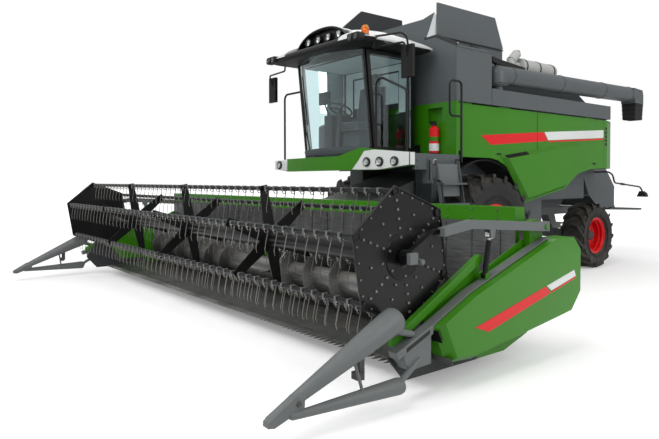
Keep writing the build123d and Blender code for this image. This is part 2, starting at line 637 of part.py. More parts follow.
def unloader():
    """Turret on the tank's shelf, the swinging tube with its elbow, and the rubber spout."""
    x = UNLOADER_X
    y = UNLOADER_Y
    elbow = rod((x, y, TURRET_TOP_Z + GAP), (x, y, UNLOADER_FRONT_Z), UNLOADER_R)
    ball = Pos(x, y, UNLOADER_FRONT_Z) * Sphere(UNLOADER_R)
    tube = rod((x, y, UNLOADER_FRONT_Z), (x, UNLOADER_REAR_Y - 200, UNLOADER_REAR_Z), UNLOADER_R)
    end_y = UNLOADER_REAR_Y
    end_z = UNLOADER_REAR_Z
    outline = [(end_y - 420, end_z + 120), (end_y - 40, end_z + 100), (end_y, end_z)]
    outline += [(end_y, end_z - 180), (end_y - 360, end_z - 180)]
    nose = side_plate(outline, x - UNLOADER_R + 10, x + UNLOADER_R - 10)
    put("unloading_tube", elbow.fuse(ball, tube, nose))
    top = UNLOADER_REAR_Z - 180 - GAP
    skirt = [(x - 140, top), (x + 140, top), (x + 120, top - 330), (x - 120, top - 330)]
    outer = front_plate(skirt, end_y - 340, end_y - 10)
    hollow = [(x - 128, top + 1), (x + 128, top + 1), (x + 108, top - 331), (x - 108, top - 331)]
    inner = front_plate(hollow, end_y - 328, end_y - 22)
    put("unloading_spout", outer - inner)


def straw_hood():
    """Straw hood open below, and the spreader board behind it."""
    top = HOOD_TOP_Z
    w = HOOD_WALL
    front = BODY_REAR_Y + GAP
    rear = HOOD_REAR_Y
    outline = [(front, 1905), (front, top), (4400, top), (4950, 1905)]
    outline += [(rear, 1550), (rear, 1110), (4620, 1110), (4200, 1400)]
    inside = [(front + w, 1890), (front + w, top - w), (4400 - w, top - w), (4950 - w, 1895)]
    inside += [(rear - w, 1545), (rear - w, 1000), (4640, 1000), (4215, 1400)]
    put("straw_hood", side_plate(outline, -HOOD_X, HOOD_X) - side_plate(inside, -HOOD_X + w, HOOD_X - w))
    z = BOARD_TOP_Z
    wing_y = BOARD_REAR_Y - 120
    plan = [(-850, BOARD_FRONT_Y), (850, BOARD_FRONT_Y), (1300, wing_y), (1300, BOARD_REAR_Y)]
    plan += [(-1300, BOARD_REAR_Y), (-1300, wing_y)]
    board = plan_plate(plan, z - BOARD_T, z)
    face = HOOD_REAR_Y + GAP
    hangers = both_sides(side_plate([(face, z - 5), (face, 1300), (face + 40, 1300), (face + 180, z - 5)], HOOD_X - 120, HOOD_X - 60))
    put("spreader_board", board.fuse(*hangers))


def cab_section(z):
    """Front lean of the cab pillars at a height, as an offset in Y."""
    return -CAB_FRONT_LEAN * (z - CAB_FLOOR_Z) / (CAB_TOP_Z - CAB_FLOOR_Z)


def cab():
    """Cab floor, frame, glass, roof, seat, console and the platform in front of the left wall."""
    x = CAB_X
    floor = block(-x, x, CAB_FRONT_Y - 40, CAB_REAR_Y + CAB_WALL, CAB_BASE_Z, CAB_FLOOR_Z)
    tip_y = CAB_FRONT_Y - 150
    tip = [(-x + 60, CAB_FRONT_Y - 30), (-0.5 * x, tip_y), (0.5 * x, tip_y), (x - 60, CAB_FRONT_Y - 30)]
    nose = plan_plate(tip, CAB_BASE_Z, CAB_FLOOR_Z)
    platform = block(x - 5, PLATFORM_X1, CAB_FRONT_Y, FRONT_WALL_Y - GAP, PLATFORM_Z, PLATFORM_Z + PLATFORM_T)
    stays = both_sides(block(x - 120, x - 20, CAB_REAR_Y - 100, BODY_FRONT_Y - GAP, CAB_BASE_Z + 10, CAB_BASE_Z + 100))
    post_x = LADDER_X - 22 - RUNNING
    post = block(LADDER_X - 130, post_x, LADDER_Y - 40, LADDER_Y + 40, 1660, PLATFORM_Z + 5)
    shelf = block(LADDER_X - 130, LADDER_X + 25, LADDER_Y - 25, LADDER_Y + 25, 1660, 1700 - GAP)
    fascia = block(PLATFORM_X1 - 50, PLATFORM_X1, CAB_FRONT_Y + PLAY, CAB_REAR_Y, FASCIA_Z, PLATFORM_Z + 5)
    put("cab_platform", floor.fuse(nose, platform, post, shelf, fascia, *stays))
    z0 = CAB_FLOOR_Z + GAP
    top = CAB_TOP_Z
    lean_top = CAB_FRONT_Y - CAB_FRONT_LEAN
    pieces = []
    outline = [(CAB_FRONT_Y, z0), (CAB_FRONT_Y + PILLAR, z0), (lean_top + PILLAR, top), (lean_top, top)]
    front_post = side_plate(outline, x - PILLAR, x)
    rear_post = block(x - PILLAR, x, CAB_REAR_Y - PILLAR, CAB_REAR_Y, z0, top)
    pieces += both_sides(front_post) + both_sides(rear_post)
    header_y = CAB_FRONT_Y + cab_section(top - PILLAR)
    rail_z = top - PILLAR
    header = side_plate([(header_y, rail_z), (header_y + PILLAR, rail_z), (lean_top + PILLAR, top), (lean_top, top)], -x, x)
    pieces += [header] + both_sides(block(x - PILLAR, x, header_y + PILLAR / 2, CAB_REAR_Y, top - PILLAR, top))
    wall = block(-x, x, CAB_REAR_Y, CAB_REAR_Y + CAB_WALL, z0, top)
    wall_y = CAB_REAR_Y + CAB_WALL + 1
    window = block(-REAR_WINDOW_X, REAR_WINDOW_X, CAB_REAR_Y - 1, wall_y, REAR_WINDOW_Z0, REAR_WINDOW_Z1)
    put("cab_frame", (wall - window).fuse(*pieces))
    edge_y = CAB_FRONT_Y - GLASS_T - 1
    mid_y = edge_y - CAB_GLASS_BULGE
    in_y = edge_y + GLASS_T
    bow = ThreePointArc((-x, edge_y, z0), (0, mid_y, z0), (x, edge_y, z0))
    bow_in = ThreePointArc((x, in_y, z0), (0, mid_y + GLASS_T, z0), (-x, in_y, z0))
    ends = [Line(bow @ 1, bow_in @ 0), Line(bow_in @ 1, bow @ 0)]
    face = make_face([bow, ends[0], bow_in, ends[1]])
    height = top - 5 - z0
    rise = Vector(0, cab_section(top - 5) - cab_section(z0), height)
    windshield = extrude(face, amount=rise.length, dir=rise.normalized())
    pane_top = top - PILLAR - GAP
    front_y = CAB_FRONT_Y + PILLAR + 2 * GAP
    rear_y = CAB_REAR_Y - PILLAR - GAP
    side_points = [(front_y, z0), (rear_y, z0), (rear_y, pane_top), (front_y + cab_section(pane_top), pane_top)]
    right_glass = side_plate(side_points, -x + 20, -x + 20 + GLASS_T)
    rear_x = REAR_WINDOW_X - GAP
    pane_y = CAB_REAR_Y + 10
    rear_glass = block(-rear_x, rear_x, pane_y, pane_y + GLASS_T, REAR_WINDOW_Z0 + GAP, REAR_WINDOW_Z1 - GAP)
    put("cab_glass", windshield, right_glass, rear_glass)


def cab_door():
    """Door with its frame and its pane on the cab's left side."""
    x0 = CAB_X + RUNNING
    lean_top = CAB_FRONT_Y - CAB_FRONT_LEAN
    low = CAB_FLOOR_Z + 20
    high = CAB_TOP_Z - 15
    rear_y = CAB_REAR_Y - DOOR_HINGE_R
    outline = [(CAB_FRONT_Y + 5, low), (rear_y, low), (rear_y, high), (lean_top + 5, high)]
    f = DOOR_FRAME
    front_low = CAB_FRONT_Y + 5 + f
    front_high = lean_top + 15 + f
    hole = [(front_low, low + f), (rear_y - f, low + f), (rear_y - f, high - f), (front_high, high - f)]
    frame = side_plate(outline, x0, x0 + DOOR_T) - side_plate(hole, x0 - 1, x0 + DOOR_T + 1)
    hinge_x = CAB_X + DOOR_HINGE_R + GAP
    hinges = []
    for z in (low + 60, high - 180):
        hinges.append(rod((hinge_x, rear_y, z), (hinge_x, rear_y, z + 120), DOOR_HINGE_R))
    put("cab_door", frame.fuse(*hinges))
    pane = [(front_low + GAP, low + f + GAP), (rear_y - f - GAP, low + f + GAP)]
    pane += [(rear_y - f - GAP, high - f - GAP), (front_high + GAP, high - f - GAP)]
    put("door_glass", side_plate(pane, x0 + 15, x0 + 15 + GLASS_T))


def cab_roof():
    """Roof from its side and front outlines, with the lamp visor, the corner lamps and the beacon."""
    low = CAB_TOP_Z + GAP
    side = [(ROOF_FRONT_Y, 3650), (ROOF_FRONT_Y + 130, low), (ROOF_REAR_Y, low), (ROOF_REAR_Y, ROOF_TOP_Z - 130)]
    side += [(-1500, ROOF_TOP_Z), (VISOR_Y + 100, ROOF_TOP_Z - 90), (ROOF_FRONT_Y + 60, 3760)]
    half = [(ROOF_X - 60, CAB_TOP_Z), (ROOF_X, 3625), (ROOF_X - 40, 3700), (700, ROOF_TOP_Z - 130), (300, ROOF_TOP_Z)]
    front = half + [(-x, z) for x, z in half[::-1]]
    shell = side_plate(side, -ROOF_X, ROOF_X) & front_plate(front, ROOF_FRONT_Y - 1, ROOF_REAR_Y + 1)
    top = ROOF_TOP_Z - 15
    half = [(VISOR_X, VISOR_Z), (0.86 * VISOR_X, top - 140), (0.6 * VISOR_X, top - 45), (0.25 * VISOR_X, top)]
    arch = half + [(-x, z) for x, z in half[::-1]]
    pieces = [front_plate(arch, VISOR_Y, VISOR_Y + 330)]
    for share in (-0.57, -0.19, 0.19, 0.57):
        x = share * VISOR_X
        z = VISOR_Z + 170
        pieces.append(rod((x, VISOR_Y - 25, z), (x, VISOR_Y + 5, z), VISOR_LAMP_R))
    for x in (ROOF_X - 85, ROOF_X - 215):
        lamp = rod((x, ROOF_FRONT_Y - 35, 3680), (x, ROOF_FRONT_Y + 40, 3680), ROOF_LAMP_R)
        pieces += both_sides(lamp)
    beacon_x = ROOF_X - 130
    beacon_y = ROOF_FRONT_Y + 190
    pieces.append(rod((beacon_x, beacon_y, 3650), (beacon_x, beacon_y, 3850), BEACON_R))
    put("cab_roof", shell.fuse(*pieces))


def cab_inside():
    """Seat on its pedestal, and the steering column with its wheel and side console."""
    z = CAB_FLOOR_Z + GAP
    pedestal = block(-190, 190, -1520, -1150, z, z + 380)
    cushion = block(-250, 250, -1600, -1120, z + 380, z + 500)
    back = side_plate([(-1180, z + 480), (-1060, z + 480), (-1010, z + 1080), (-1100, z + 1080)], -240, 240)
    put("operator_seat", pedestal.fuse(cushion, back))
    column = rod((0, -1810, z + 20), (0, -1745, z + 640), 35)
    column_foot = block(-90, 90, -1880, -1740, z, z + 60)
    tilt = Plane(origin=(0, -1740, z + 690), z_dir=(0, 0.45, 0.9))
    hand_wheel = tilt * Torus(190, 15)
    spokes = [tilt * (Rot(0, 0, turn) * (Pos(95, 0, 0) * Box(190, 30, 12))) for turn in (0, 120, 240)]
    stem = rod((0, -1752, z + 580), (0, -1740, z + 690), 30)
    console = block(-520, -330, -1640, -1150, z, z + 640)
    monitor = block(-500, -250, -1770, -1730, z + 800, z + 1000)
    post = rod((-430, -1600, z + 600), (-400, -1745, z + 850), 14)
    put("cab_controls", column.fuse(column_foot, hand_wheel, stem, *spokes), console.fuse(post, monitor))


def bumper_front(x):
    """Y of the bowed bumper's front face at x."""
    return BUMPER_END_Y - BUMPER_BOW * (1 - (x / BUMPER_X) ** 2)


def bumper_top(x):
    """Height of the bumper's top edge on its left half."""
    low_x, low_z, high_x, high_z = BUMPER_X, BUMPER_Z1 + 20, 800, BUMPER_Z1 + 110
    return low_z + (high_z - low_z) * (low_x - x) / (low_x - high_x)


def front_trim():
    """Bumper, extinguisher, mirrors and hand rails of the cab front."""
    outline = [(-1400, BUMPER_Z0 + 40), (-1030, BUMPER_Z0), (1150, BUMPER_Z0), (BUMPER_X, BUMPER_Z0 + 60)]
    outline += [(BUMPER_X, BUMPER_Z1 + 20), (800, BUMPER_Z1 + 110), (350, BUMPER_Z1)]
    outline += [(-1030, BUMPER_Z1), (-1400, BUMPER_Z1 - 20)]
    steps = [BUMPER_X * (index / 6 - 1) for index in range(13)]
    bow = [(x, bumper_front(x)) for x in steps]
    plan = bow + [(x, y + BUMPER_T) for x, y in bow[::-1]]
    bar = front_plate(outline, -2400, -1500) & plan_plate(plan, BUMPER_Z0 - 10, BUMPER_Z1 + 200)
    hangers = []
    hanger_y = BUMPER_END_Y + BUMPER_T - 170
    for x in (-660, 660):
        hangers.append(block(x - 30, x + 30, hanger_y, CAB_FRONT_Y + 200, BUMPER_Z1 - 130, CAB_BASE_Z - GAP))
    lamps = []
    for x in (-1250, 930, 1150, 1390):
        y = bumper_front(x)
        z = BUMPER_Z0 + 115
        lamps.append(rod((x, y - 18, z), (x, y + BUMPER_T / 2, z), BUMPER_LAMP_R))
    put("bumper", bar.fuse(*hangers, *lamps))
    bottle_x = 1150
    bottle_y = FRONT_WALL_Y - BOTTLE_R - GAP
    z = PLATFORM_Z + PLATFORM_T + GAP
    bottle = rod((bottle_x, bottle_y, z), (bottle_x, bottle_y, z + 400), BOTTLE_R)
    neck = cone((bottle_x, bottle_y, z + 399), (bottle_x, bottle_y, z + 455), BOTTLE_R, 25)
    valve = block(bottle_x - 20, bottle_x + 20, bottle_y - 50, bottle_y + 20, z + 450, z + 495)
    put("fire_extinguisher", bottle.fuse(neck, valve))
    r = RAIL_TUBE_R
    base = PLATFORM_Z + PLATFORM_T + GAP
    outer_x = PLATFORM_X1 + r + GAP
    low_z = bumper_top(GUARD_X0 - r) + GAP
    end_z = bumper_top(GUARD_X1 - r) + GAP
    path = [(GUARD_X0, GUARD_Y0, low_z), (GUARD_X0, GUARD_Y0, 3180), (GUARD_X1, GUARD_Y1, 2930), (GUARD_X1, GUARD_Y1, end_z)]
    front_rail = bent_tube(path, r, 90)
    path = [(outer_x, -830, 1960), (outer_x, -830, 3120), (outer_x, -1090, 3120)]
    tall = bent_tube(path + [(outer_x, -1090, 2620), (outer_x, -845, 2620)], r, 70)
    low_stay = block(PLATFORM_X1 - 20, outer_x, -850, -810, base, base + 60)
    side_x = BUMPER_X * 5 / 6
    side_y = bumper_front(side_x) + BUMPER_T + r + 3 * GAP
    side_rail = bent_tube([(side_x, side_y, BUMPER_Z1 - 40), (side_x, side_y, 3180), (CAB_X + GAP, side_y, 3180)], r, 90)
    put("hand_rails", front_rail, tall.fuse(low_stay), mirror(side_rail, about=Plane.YZ))
    arm = bent_tube([(1060, -2050, CAB_TOP_Z), (1060, -2050, 3530), (1600, -2000, 3530), (1600, -1950, 3350)], 14, 40)
    mirror_face = block(1500, 1700, -1950, -1900, 3070, 3500)
    put("mirrors", *both_sides(arm.fuse(mirror_face)))


def ladder():
    """Swinging access ladder hinged at its front edge on a platform post."""
    top = PLATFORM_Z - 20
    side_x = LADDER_X
    lean = LADDER_LEAN
    pieces = []
    hinge = rod((side_x, LADDER_Y, 1700), (side_x, LADDER_Y, top), 22)
    for y in (LADDER_Y + 50, LADDER_Y + LADDER_W):
        outline = [(side_x, top), (side_x + 50, top)]
        outline += [(side_x + lean + 50, LADDER_BOTTOM_Z), (side_x + lean, LADDER_BOTTOM_Z)]
        pieces.append(front_plate(outline, y, y + 12))
    for index in range(STEPS):
        z = LADDER_BOTTOM_Z + 40 + index * (top - LADDER_BOTTOM_Z - 100) / STEPS
        x = side_x + lean * (top - z) / (top - LADDER_BOTTOM_Z)
        pieces.append(block(x - 60, x + 130, LADDER_Y + 45, LADDER_Y + LADDER_W + 17, z, z + 25))
    lug = block(side_x - 10, side_x + 40, LADDER_Y, LADDER_Y + 62, 1740, 1900)
    put("ladder", lug.fuse(hinge, *pieces))


def feederhouse():
    """Feeder channel from the header up to the threshing body, with pivot bosses and lift lugs."""
    rear_y = FEEDER_PIVOT_Y + 50
    outline = [(-2600, 260), (-2600, 1080), (rear_y, FEEDER_PIVOT_Z + 80), (rear_y, 1100)]
    inside = [(-2601, 330), (-2601, 1010), (rear_y + 1, FEEDER_PIVOT_Z + 10), (rear_y + 1, 1170)]
    shell = side_plate(outline, -FEEDER_X, FEEDER_X) - side_plate(inside, -FEEDER_X + 10, FEEDER_X - 10)
    bosses = both_sides(drum(FEEDER_X - 5, FEEDER_X + 11, FEEDER_PIVOT_Y, FEEDER_PIVOT_Z, 90))
    lugs = []
    for x in (LIFT_X - LUG_X - 15, LIFT_X + LUG_X):
        low = LIFT_EYE_Z - 50
        ear = [(LIFT_EYE_Y - 120, 500), (LIFT_EYE_Y - 50, low), (LIFT_EYE_Y + 50, low), (LIFT_EYE_Y + 120, 580)]
        lugs += both_sides(side_plate(ear, x, x + 15))
    channel = shell.fuse(*bosses, *lugs)
    pins = both_sides(drum(LIFT_X - LUG_X - 10, LIFT_X + LUG_X + 10, LIFT_EYE_Y, LIFT_EYE_Z, LIFT_PIN_R))
    put("feederhouse", channel.fuse(*pins))


def cylinder_pair(name, x, radius, rod_r, base, eye, barrel_share, pin_r, eye_w, neck):
    """Both sides' hydraulic cylinders, barrels in one node and rods in the other."""
    run = Vector(0, *eye) - Vector(0, *base)
    along = run.normalized()
    start = Vector(x, *base)
    end = Vector(x, *eye)
    half = eye_w / 2
    barrel_end = start + along * (run.length * barrel_share)
    barrel = rod(start + along * neck, barrel_end, radius)
    link = rod(start + along * pin_r, start + along * (neck + 1), half * 0.9)
    base_eye = drum(x - half, x + half, *base, pin_r * 1.8).fuse(link, barrel)
    bore = rod(start + along * (neck + radius * 0.6), barrel_end + along, rod_r + GAP)
    barrels = base_eye - drum(x - eye_w, x + eye_w, *base, pin_r + GAP) - bore
    piston = rod(start + along * (neck + radius), end - along * (pin_r + EYE_DRIFT + EYE_WALL / 2), rod_r)
    eye_r = pin_r + EYE_DRIFT
    rod_eye = drum(x - half, x + half, *eye, eye_r + EYE_WALL).fuse(piston) - drum(x - eye_w, x + eye_w, *eye, eye_r)
    put(f"{name}_barrels", *both_sides(barrels))
    put(f"{name}_rods", *both_sides(rod_eye))


def lift_cylinders():
    """Header lift cylinders and the pins that carry their barrels."""
    base = (LIFT_BASE_Y, LIFT_BASE_Z)
    eye = (LIFT_EYE_Y, LIFT_EYE_Z)
    cylinder_pair("header_lift", LIFT_X, LIFT_BARREL_R, LIFT_ROD_R, base, eye, 0.62, LIFT_PIN_R, 44, 110)


def pan_edge(offset):
    """Edge chain of the header pan's section at an offset below its inner face."""
    r = TROUGH_R + offset
    start = (0, KNIFE_Y, KNIFE_Z - offset)
    turn_in = (0, AUGER_Y + r * cos(radians(-120)), AUGER_Z + r * sin(radians(-120)))
    low = (0, AUGER_Y + r * cos(radians(-60)), AUGER_Z + r * sin(radians(-60)))
    turn_out = (0, AUGER_Y + r, AUGER_Z)
    top = (0, AUGER_Y + r, BACK_TOP_Z - BEAM)
    return start, turn_in, low, turn_out, top


def reel_mounts():
    """Post and pin that carry the left reel arm, and the lugs of its lift cylinder."""
    x0 = ARM_X - ARM_W / 2
    x1 = ARM_X + ARM_W / 2
    y = ARM_PIVOT_Y
    z = ARM_PIVOT_Z
    outline = [(y - 160, 1000), (y - 160, z + 60), (y - 40, z + 70), (y + 50, z + 20), (y + 60, 1000)]
    post = side_plate(outline, HEADER_X + GAP, x0 - RUNNING)
    pin = drum(x0 - RUNNING - 1, x1 + 10, y, z, ARM_PIN_R)
    pieces = [post, pin, drum(x0, x1, REEL_LIFT_BASE_Y, REEL_LIFT_BASE_Z, 12)]
    for x in (x0, x1 - 8):
        top = REEL_LIFT_BASE_Z + 25
        base_y = REEL_LIFT_BASE_Y
        foot = [(base_y - 60, 700), (base_y - 25, top), (base_y + 25, top), (base_y + 60, 820)]
        pieces.append(side_plate(foot, x, x + 8))
    return pieces


def header_frame():
    """Header pan, back frame with its top beam, end sheets and covers."""
    a = pan_edge(0)
    b = pan_edge(PAN_T)
    chain = [Line(a[0], a[1]), ThreePointArc(a[1], a[2], a[3]), Line(a[3], a[4]), Line(a[4], b[4])]
    chain += [Line(b[4], b[3]), ThreePointArc(b[3], b[2], b[1]), Line(b[1], b[0]), Line(b[0], a[0])]
    pan = Pos(-HEADER_X, 0, 0) * extrude(make_face(chain), amount=2 * HEADER_X, dir=(1, 0, 0))
    wall_y = BACK_WALL_Y
    feed = block(-FEED_OPENING_X, FEED_OPENING_X, wall_y - 120, wall_y + 60, FEED_OPENING_Z0, FEED_OPENING_Z1)
    joints = both_sides(block(FEED_OPENING_X, FEED_OPENING_X + GAP, KNIFE_Y - 1, BACK_WALL_Y + 60, 0, BACK_TOP_Z))
    put("header_pan", pan - feed - joints[0] - joints[1])
    y0 = BACK_WALL_Y + PAN_T + GAP
    beam_z = BACK_TOP_Z - BEAM + GAP
    members = [block(-HEADER_X, HEADER_X, y0 - 8, y0 + BEAM, beam_z, BACK_TOP_Z)]
    ring_x = FEEDER_X + 120
    members += both_sides(block(ring_x + GAP, HEADER_X, y0 + 20, y0 + 140, 230, 350))
    for x in (1700, 2750, HEADER_X - 80):
        members += both_sides(block(x - 40, x + 40, y0, y0 + 120, 350 + GAP, beam_z - GAP))
    ring_y = -2600 - GAP
    members += both_sides(block(FEED_OPENING_X, ring_x, y0, ring_y, 225, beam_z - GAP))
    inner_x = FEED_OPENING_X - GAP
    members.append(block(-inner_x, inner_x, y0, ring_y, 225, FEED_OPENING_Z0))
    members.append(block(-inner_x, inner_x, y0, ring_y, FEED_OPENING_Z1, 1110))
    put("header_back", *members)
    sheet_outline = [(KNIFE_Y - 300, 130), (KNIFE_Y - 480, 330), (KNIFE_Y - 330, 560), (-3690, 760)]
    sheet_outline += [(-2700, 1150), (-2620, 1150), (-2620, 240), (-3000, 130)]
    sheet = side_plate(sheet_outline, HEADER_X + GAP, HEADER_X + END_SHEET)
    cover_outline = [(-4140, 560), (-3980, 230), (-3650, 210), (-2270, 370), (-2040, 610)]
    cover_outline += [(-2040, 1020), (-2170, 1150), (-2480, 1150), (-3690, 760)]
    cover = side_plate(cover_outline, END_COVER_X0, END_COVER_X1)
    outer_edges = cover.edges().filter_by(lambda e: abs(e.center().X - END_COVER_X1) < 1)
    low_edges = outer_edges.filter_by(lambda e: e.center().Z < 420)
    cover = chamfer(low_edges, 90, 60)
    joiner = block(HEADER_X + END_SHEET - 1, END_COVER_X0 + 1, -3900, -2650, 330, 620)
    bearing = drum(HEADER_X, HEADER_X + END_SHEET - 1, AUGER_Y, AUGER_Z, AUGER_STUB_R + GAP)
    end = (sheet - bearing).fuse(joiner, cover, *reel_mounts())
    for side, piece in zip(("left", "right"), both_sides(end)):
        put(f"header_end_{side}", piece)


def cutterbar():
    """Knife bar with its row of pointed guards, one toothed outline."""
    count = int(2 * HEADER_X / GUARD_PITCH)
    first = -(count - 1) * GUARD_PITCH / 2
    back_y = KNIFE_Y
    front_y = KNIFE_Y - 60
    points = [(HEADER_X, back_y), (-HEADER_X, back_y), (-HEADER_X, front_y)]
    for index in range(count):
        x = first + index * GUARD_PITCH
        points += [(x - GUARD_W / 2, front_y), (x, front_y - GUARD_LENGTH), (x + GUARD_W / 2, front_y)]
    points.append((HEADER_X, front_y))
    put("cutterbar", plan_plate(points, KNIFE_Z - GUARD_T, KNIFE_Z))


def auger():
    """Feed auger: core tube, two opposed flights as strips of flat facets, and middle fingers."""
    core = drum(-HEADER_X + 40, HEADER_X - 40, AUGER_Y, AUGER_Z, AUGER_CORE_R)
    stubs = both_sides(drum(HEADER_X - 45, HEADER_X + END_SHEET - 4, AUGER_Y, AUGER_Z, AUGER_STUB_R))
    fingers = []
    for index in range(8):
        x = -FINGER_ZONE + 80 + index * (2 * FINGER_ZONE - 160) / 7
        turn = radians(90 + index * 135)
        tip = (x, AUGER_Y + AUGER_R * cos(turn), AUGER_Z + AUGER_R * sin(turn))
        fingers.append(rod((x, AUGER_Y, AUGER_Z), tip, 9))
    put("auger_core", core.fuse(*stubs, *fingers))
    length = HEADER_X - 60 - FINGER_ZONE
    count = int(length / AUGER_PITCH * FLIGHT_STEPS)
    inner = (AUGER_CORE_R + GAP) / cos(pi / FLIGHT_STEPS)

    def corner(step, radius, lift):
        turn = 2 * pi * step / FLIGHT_STEPS
        x = FINGER_ZONE + AUGER_PITCH * step / FLIGHT_STEPS + lift
        return Vector(x, AUGER_Y + radius * cos(turn), AUGER_Z + radius * sin(turn))

    section = ((inner, 0), (AUGER_R, 0), (AUGER_R, FLIGHT_T), (inner, FLIGHT_T))
    rows = [[corner(step, r, lift) for r, lift in section] for step in range(count + 1)]
    faces = [Face(Wire.make_polygon(rows[0], close=True)), Face(Wire.make_polygon(rows[-1], close=True))]
    for now, ahead in zip(rows, rows[1:]):
        for index in range(4):
            other = (index + 1) % 4
            faces.append(Face(Wire.make_polygon([now[index], now[other], ahead[index]], close=True)))
            faces.append(Face(Wire.make_polygon([now[other], ahead[other], ahead[index]], close=True)))
    flight = Solid(Shell(faces))
    put("auger_flights", *both_sides(flight))


def dividers():
    """Crop dividers in front of both header ends, each a long cone over a slim one, with its bars."""
    x = DIVIDER_X
    nose = cone((x, DIVIDER_TIP_Y, 160), (x, -4560, 640), 18, 102)
    slim = cone((x + 40, -5520, 175), (x + 68, -4530, 175), 22, 64)
    tie = rod((x, -5450, 255), (x + 45, -5440, 175), 12)
    strut = rod((x + 20, -4950, 450), (x + 70, -4900, 190), 14)
    support = rod((x, -4600, 600), (x + 60, -4300, 545), 28)
    seat = rod((x + 60, -4300, 545), (x - 20, -4330, 480), 24)
    bar = rod((x + 66, -4560, 180), (x + 50, -4290, 330), 24)
    plate = side_plate([(-4400, 250), (-4400, 600), (-4300, 650), (-4160, 600), (-4160, 260)], HEADER_X + END_SHEET + GAP, x + 90)
    put("crop_dividers", *both_sides(nose.fuse(slim, tie, strut, support, seat, bar, plate)))


def hexagon_points(radius, turn):
    """Six (y, z) points round the reel axle."""
    angles = [90 + turn + 60 * index for index in range(REEL_BARS)]
    return [(REEL_Y - radius * cos(radians(angle)), REEL_Z + radius * sin(radians(angle))) for angle in angles]


def reel():
    """Reel core with end plates and spiders, and the tine bars that hang from them."""
    core = drum(-REEL_X + 5, REEL_X - 5, REEL_Y, REEL_Z, REEL_TUBE_R)
    pieces = both_sides(drum(REEL_X - 10, REEL_X + 22, REEL_Y, REEL_Z, REEL_SHAFT_R))
    outline = hexagon_points(REEL_R + 45, REEL_TURN)
    pieces += both_sides(side_plate(outline, REEL_X - REEL_PLATE_T, REEL_X))
    corners = hexagon_points(REEL_R, REEL_TURN)
    for index in range(REEL_SPIDERS):
        x = REEL_X * (2 * (index + 1) / (REEL_SPIDERS + 1) - 1)
        for y, z in corners:
            run = hypot(y - REEL_Y, z - REEL_Z)
            across = ((z - REEL_Z) / run, -(y - REEL_Y) / run)
            arm = []
            for share, half in ((0.05, 75), (1.06, 45)):
                centre = (REEL_Y + share * (y - REEL_Y), REEL_Z + share * (z - REEL_Z))
                for sign in (1, -1):
                    arm.append((centre[0] + sign * half * across[0], centre[1] + sign * half * across[1]))
            pieces.append(side_plate([arm[0], arm[2], arm[3], arm[1]], x - 4, x + 4))
    bar_bores = [drum(-REEL_X - 20, REEL_X + 20, y, z, REEL_BAR_R + GAP) for y, z in corners]
    put("reel_core", core.fuse(*pieces).cut(*bar_bores))
    bars = []
    count = int((2 * REEL_X - 2 * 40) / TINE_PITCH)
    first = -(count - 1) * TINE_PITCH / 2
    spider_x = [REEL_X * (2 * (index + 1) / (REEL_SPIDERS + 1) - 1) for index in range(REEL_SPIDERS)]
    for y, z in corners:
        comb = [(REEL_X - 30, z + 8), (-REEL_X + 30, z + 8), (-REEL_X + 30, z - 8)]
        for index in range(count):
            x = first + index * TINE_PITCH
            shift = sum(TINE_T * 1.5 for centre in spider_x if abs(x - centre) < TINE_T + 5)
            x0 = x + shift - TINE_T / 2
            x1 = x + shift + TINE_T / 2
            comb += [(x0, z - 8), (x0, z - TINE_LENGTH), (x1, z - TINE_LENGTH), (x1, z - 8)]
        comb.append((REEL_X - 30, z - 8))
        tines = front_plate(comb, y - TINE_T / 2, y + TINE_T / 2)
        bars.append(tines.fuse(drum(-REEL_X - 12, REEL_X + 12, y, z, REEL_BAR_R)))
    put("reel_bars", *bars)


def arm_line(y, offset=0):
    """Height of the reel arm's front stretch at y, plus an offset."""
    slope = (ARM_BEND_Z - ARM_FRONT_Z) / (ARM_BEND_Y - ARM_FRONT_Y)
    return ARM_FRONT_Z + slope * (y - ARM_FRONT_Y) + offset


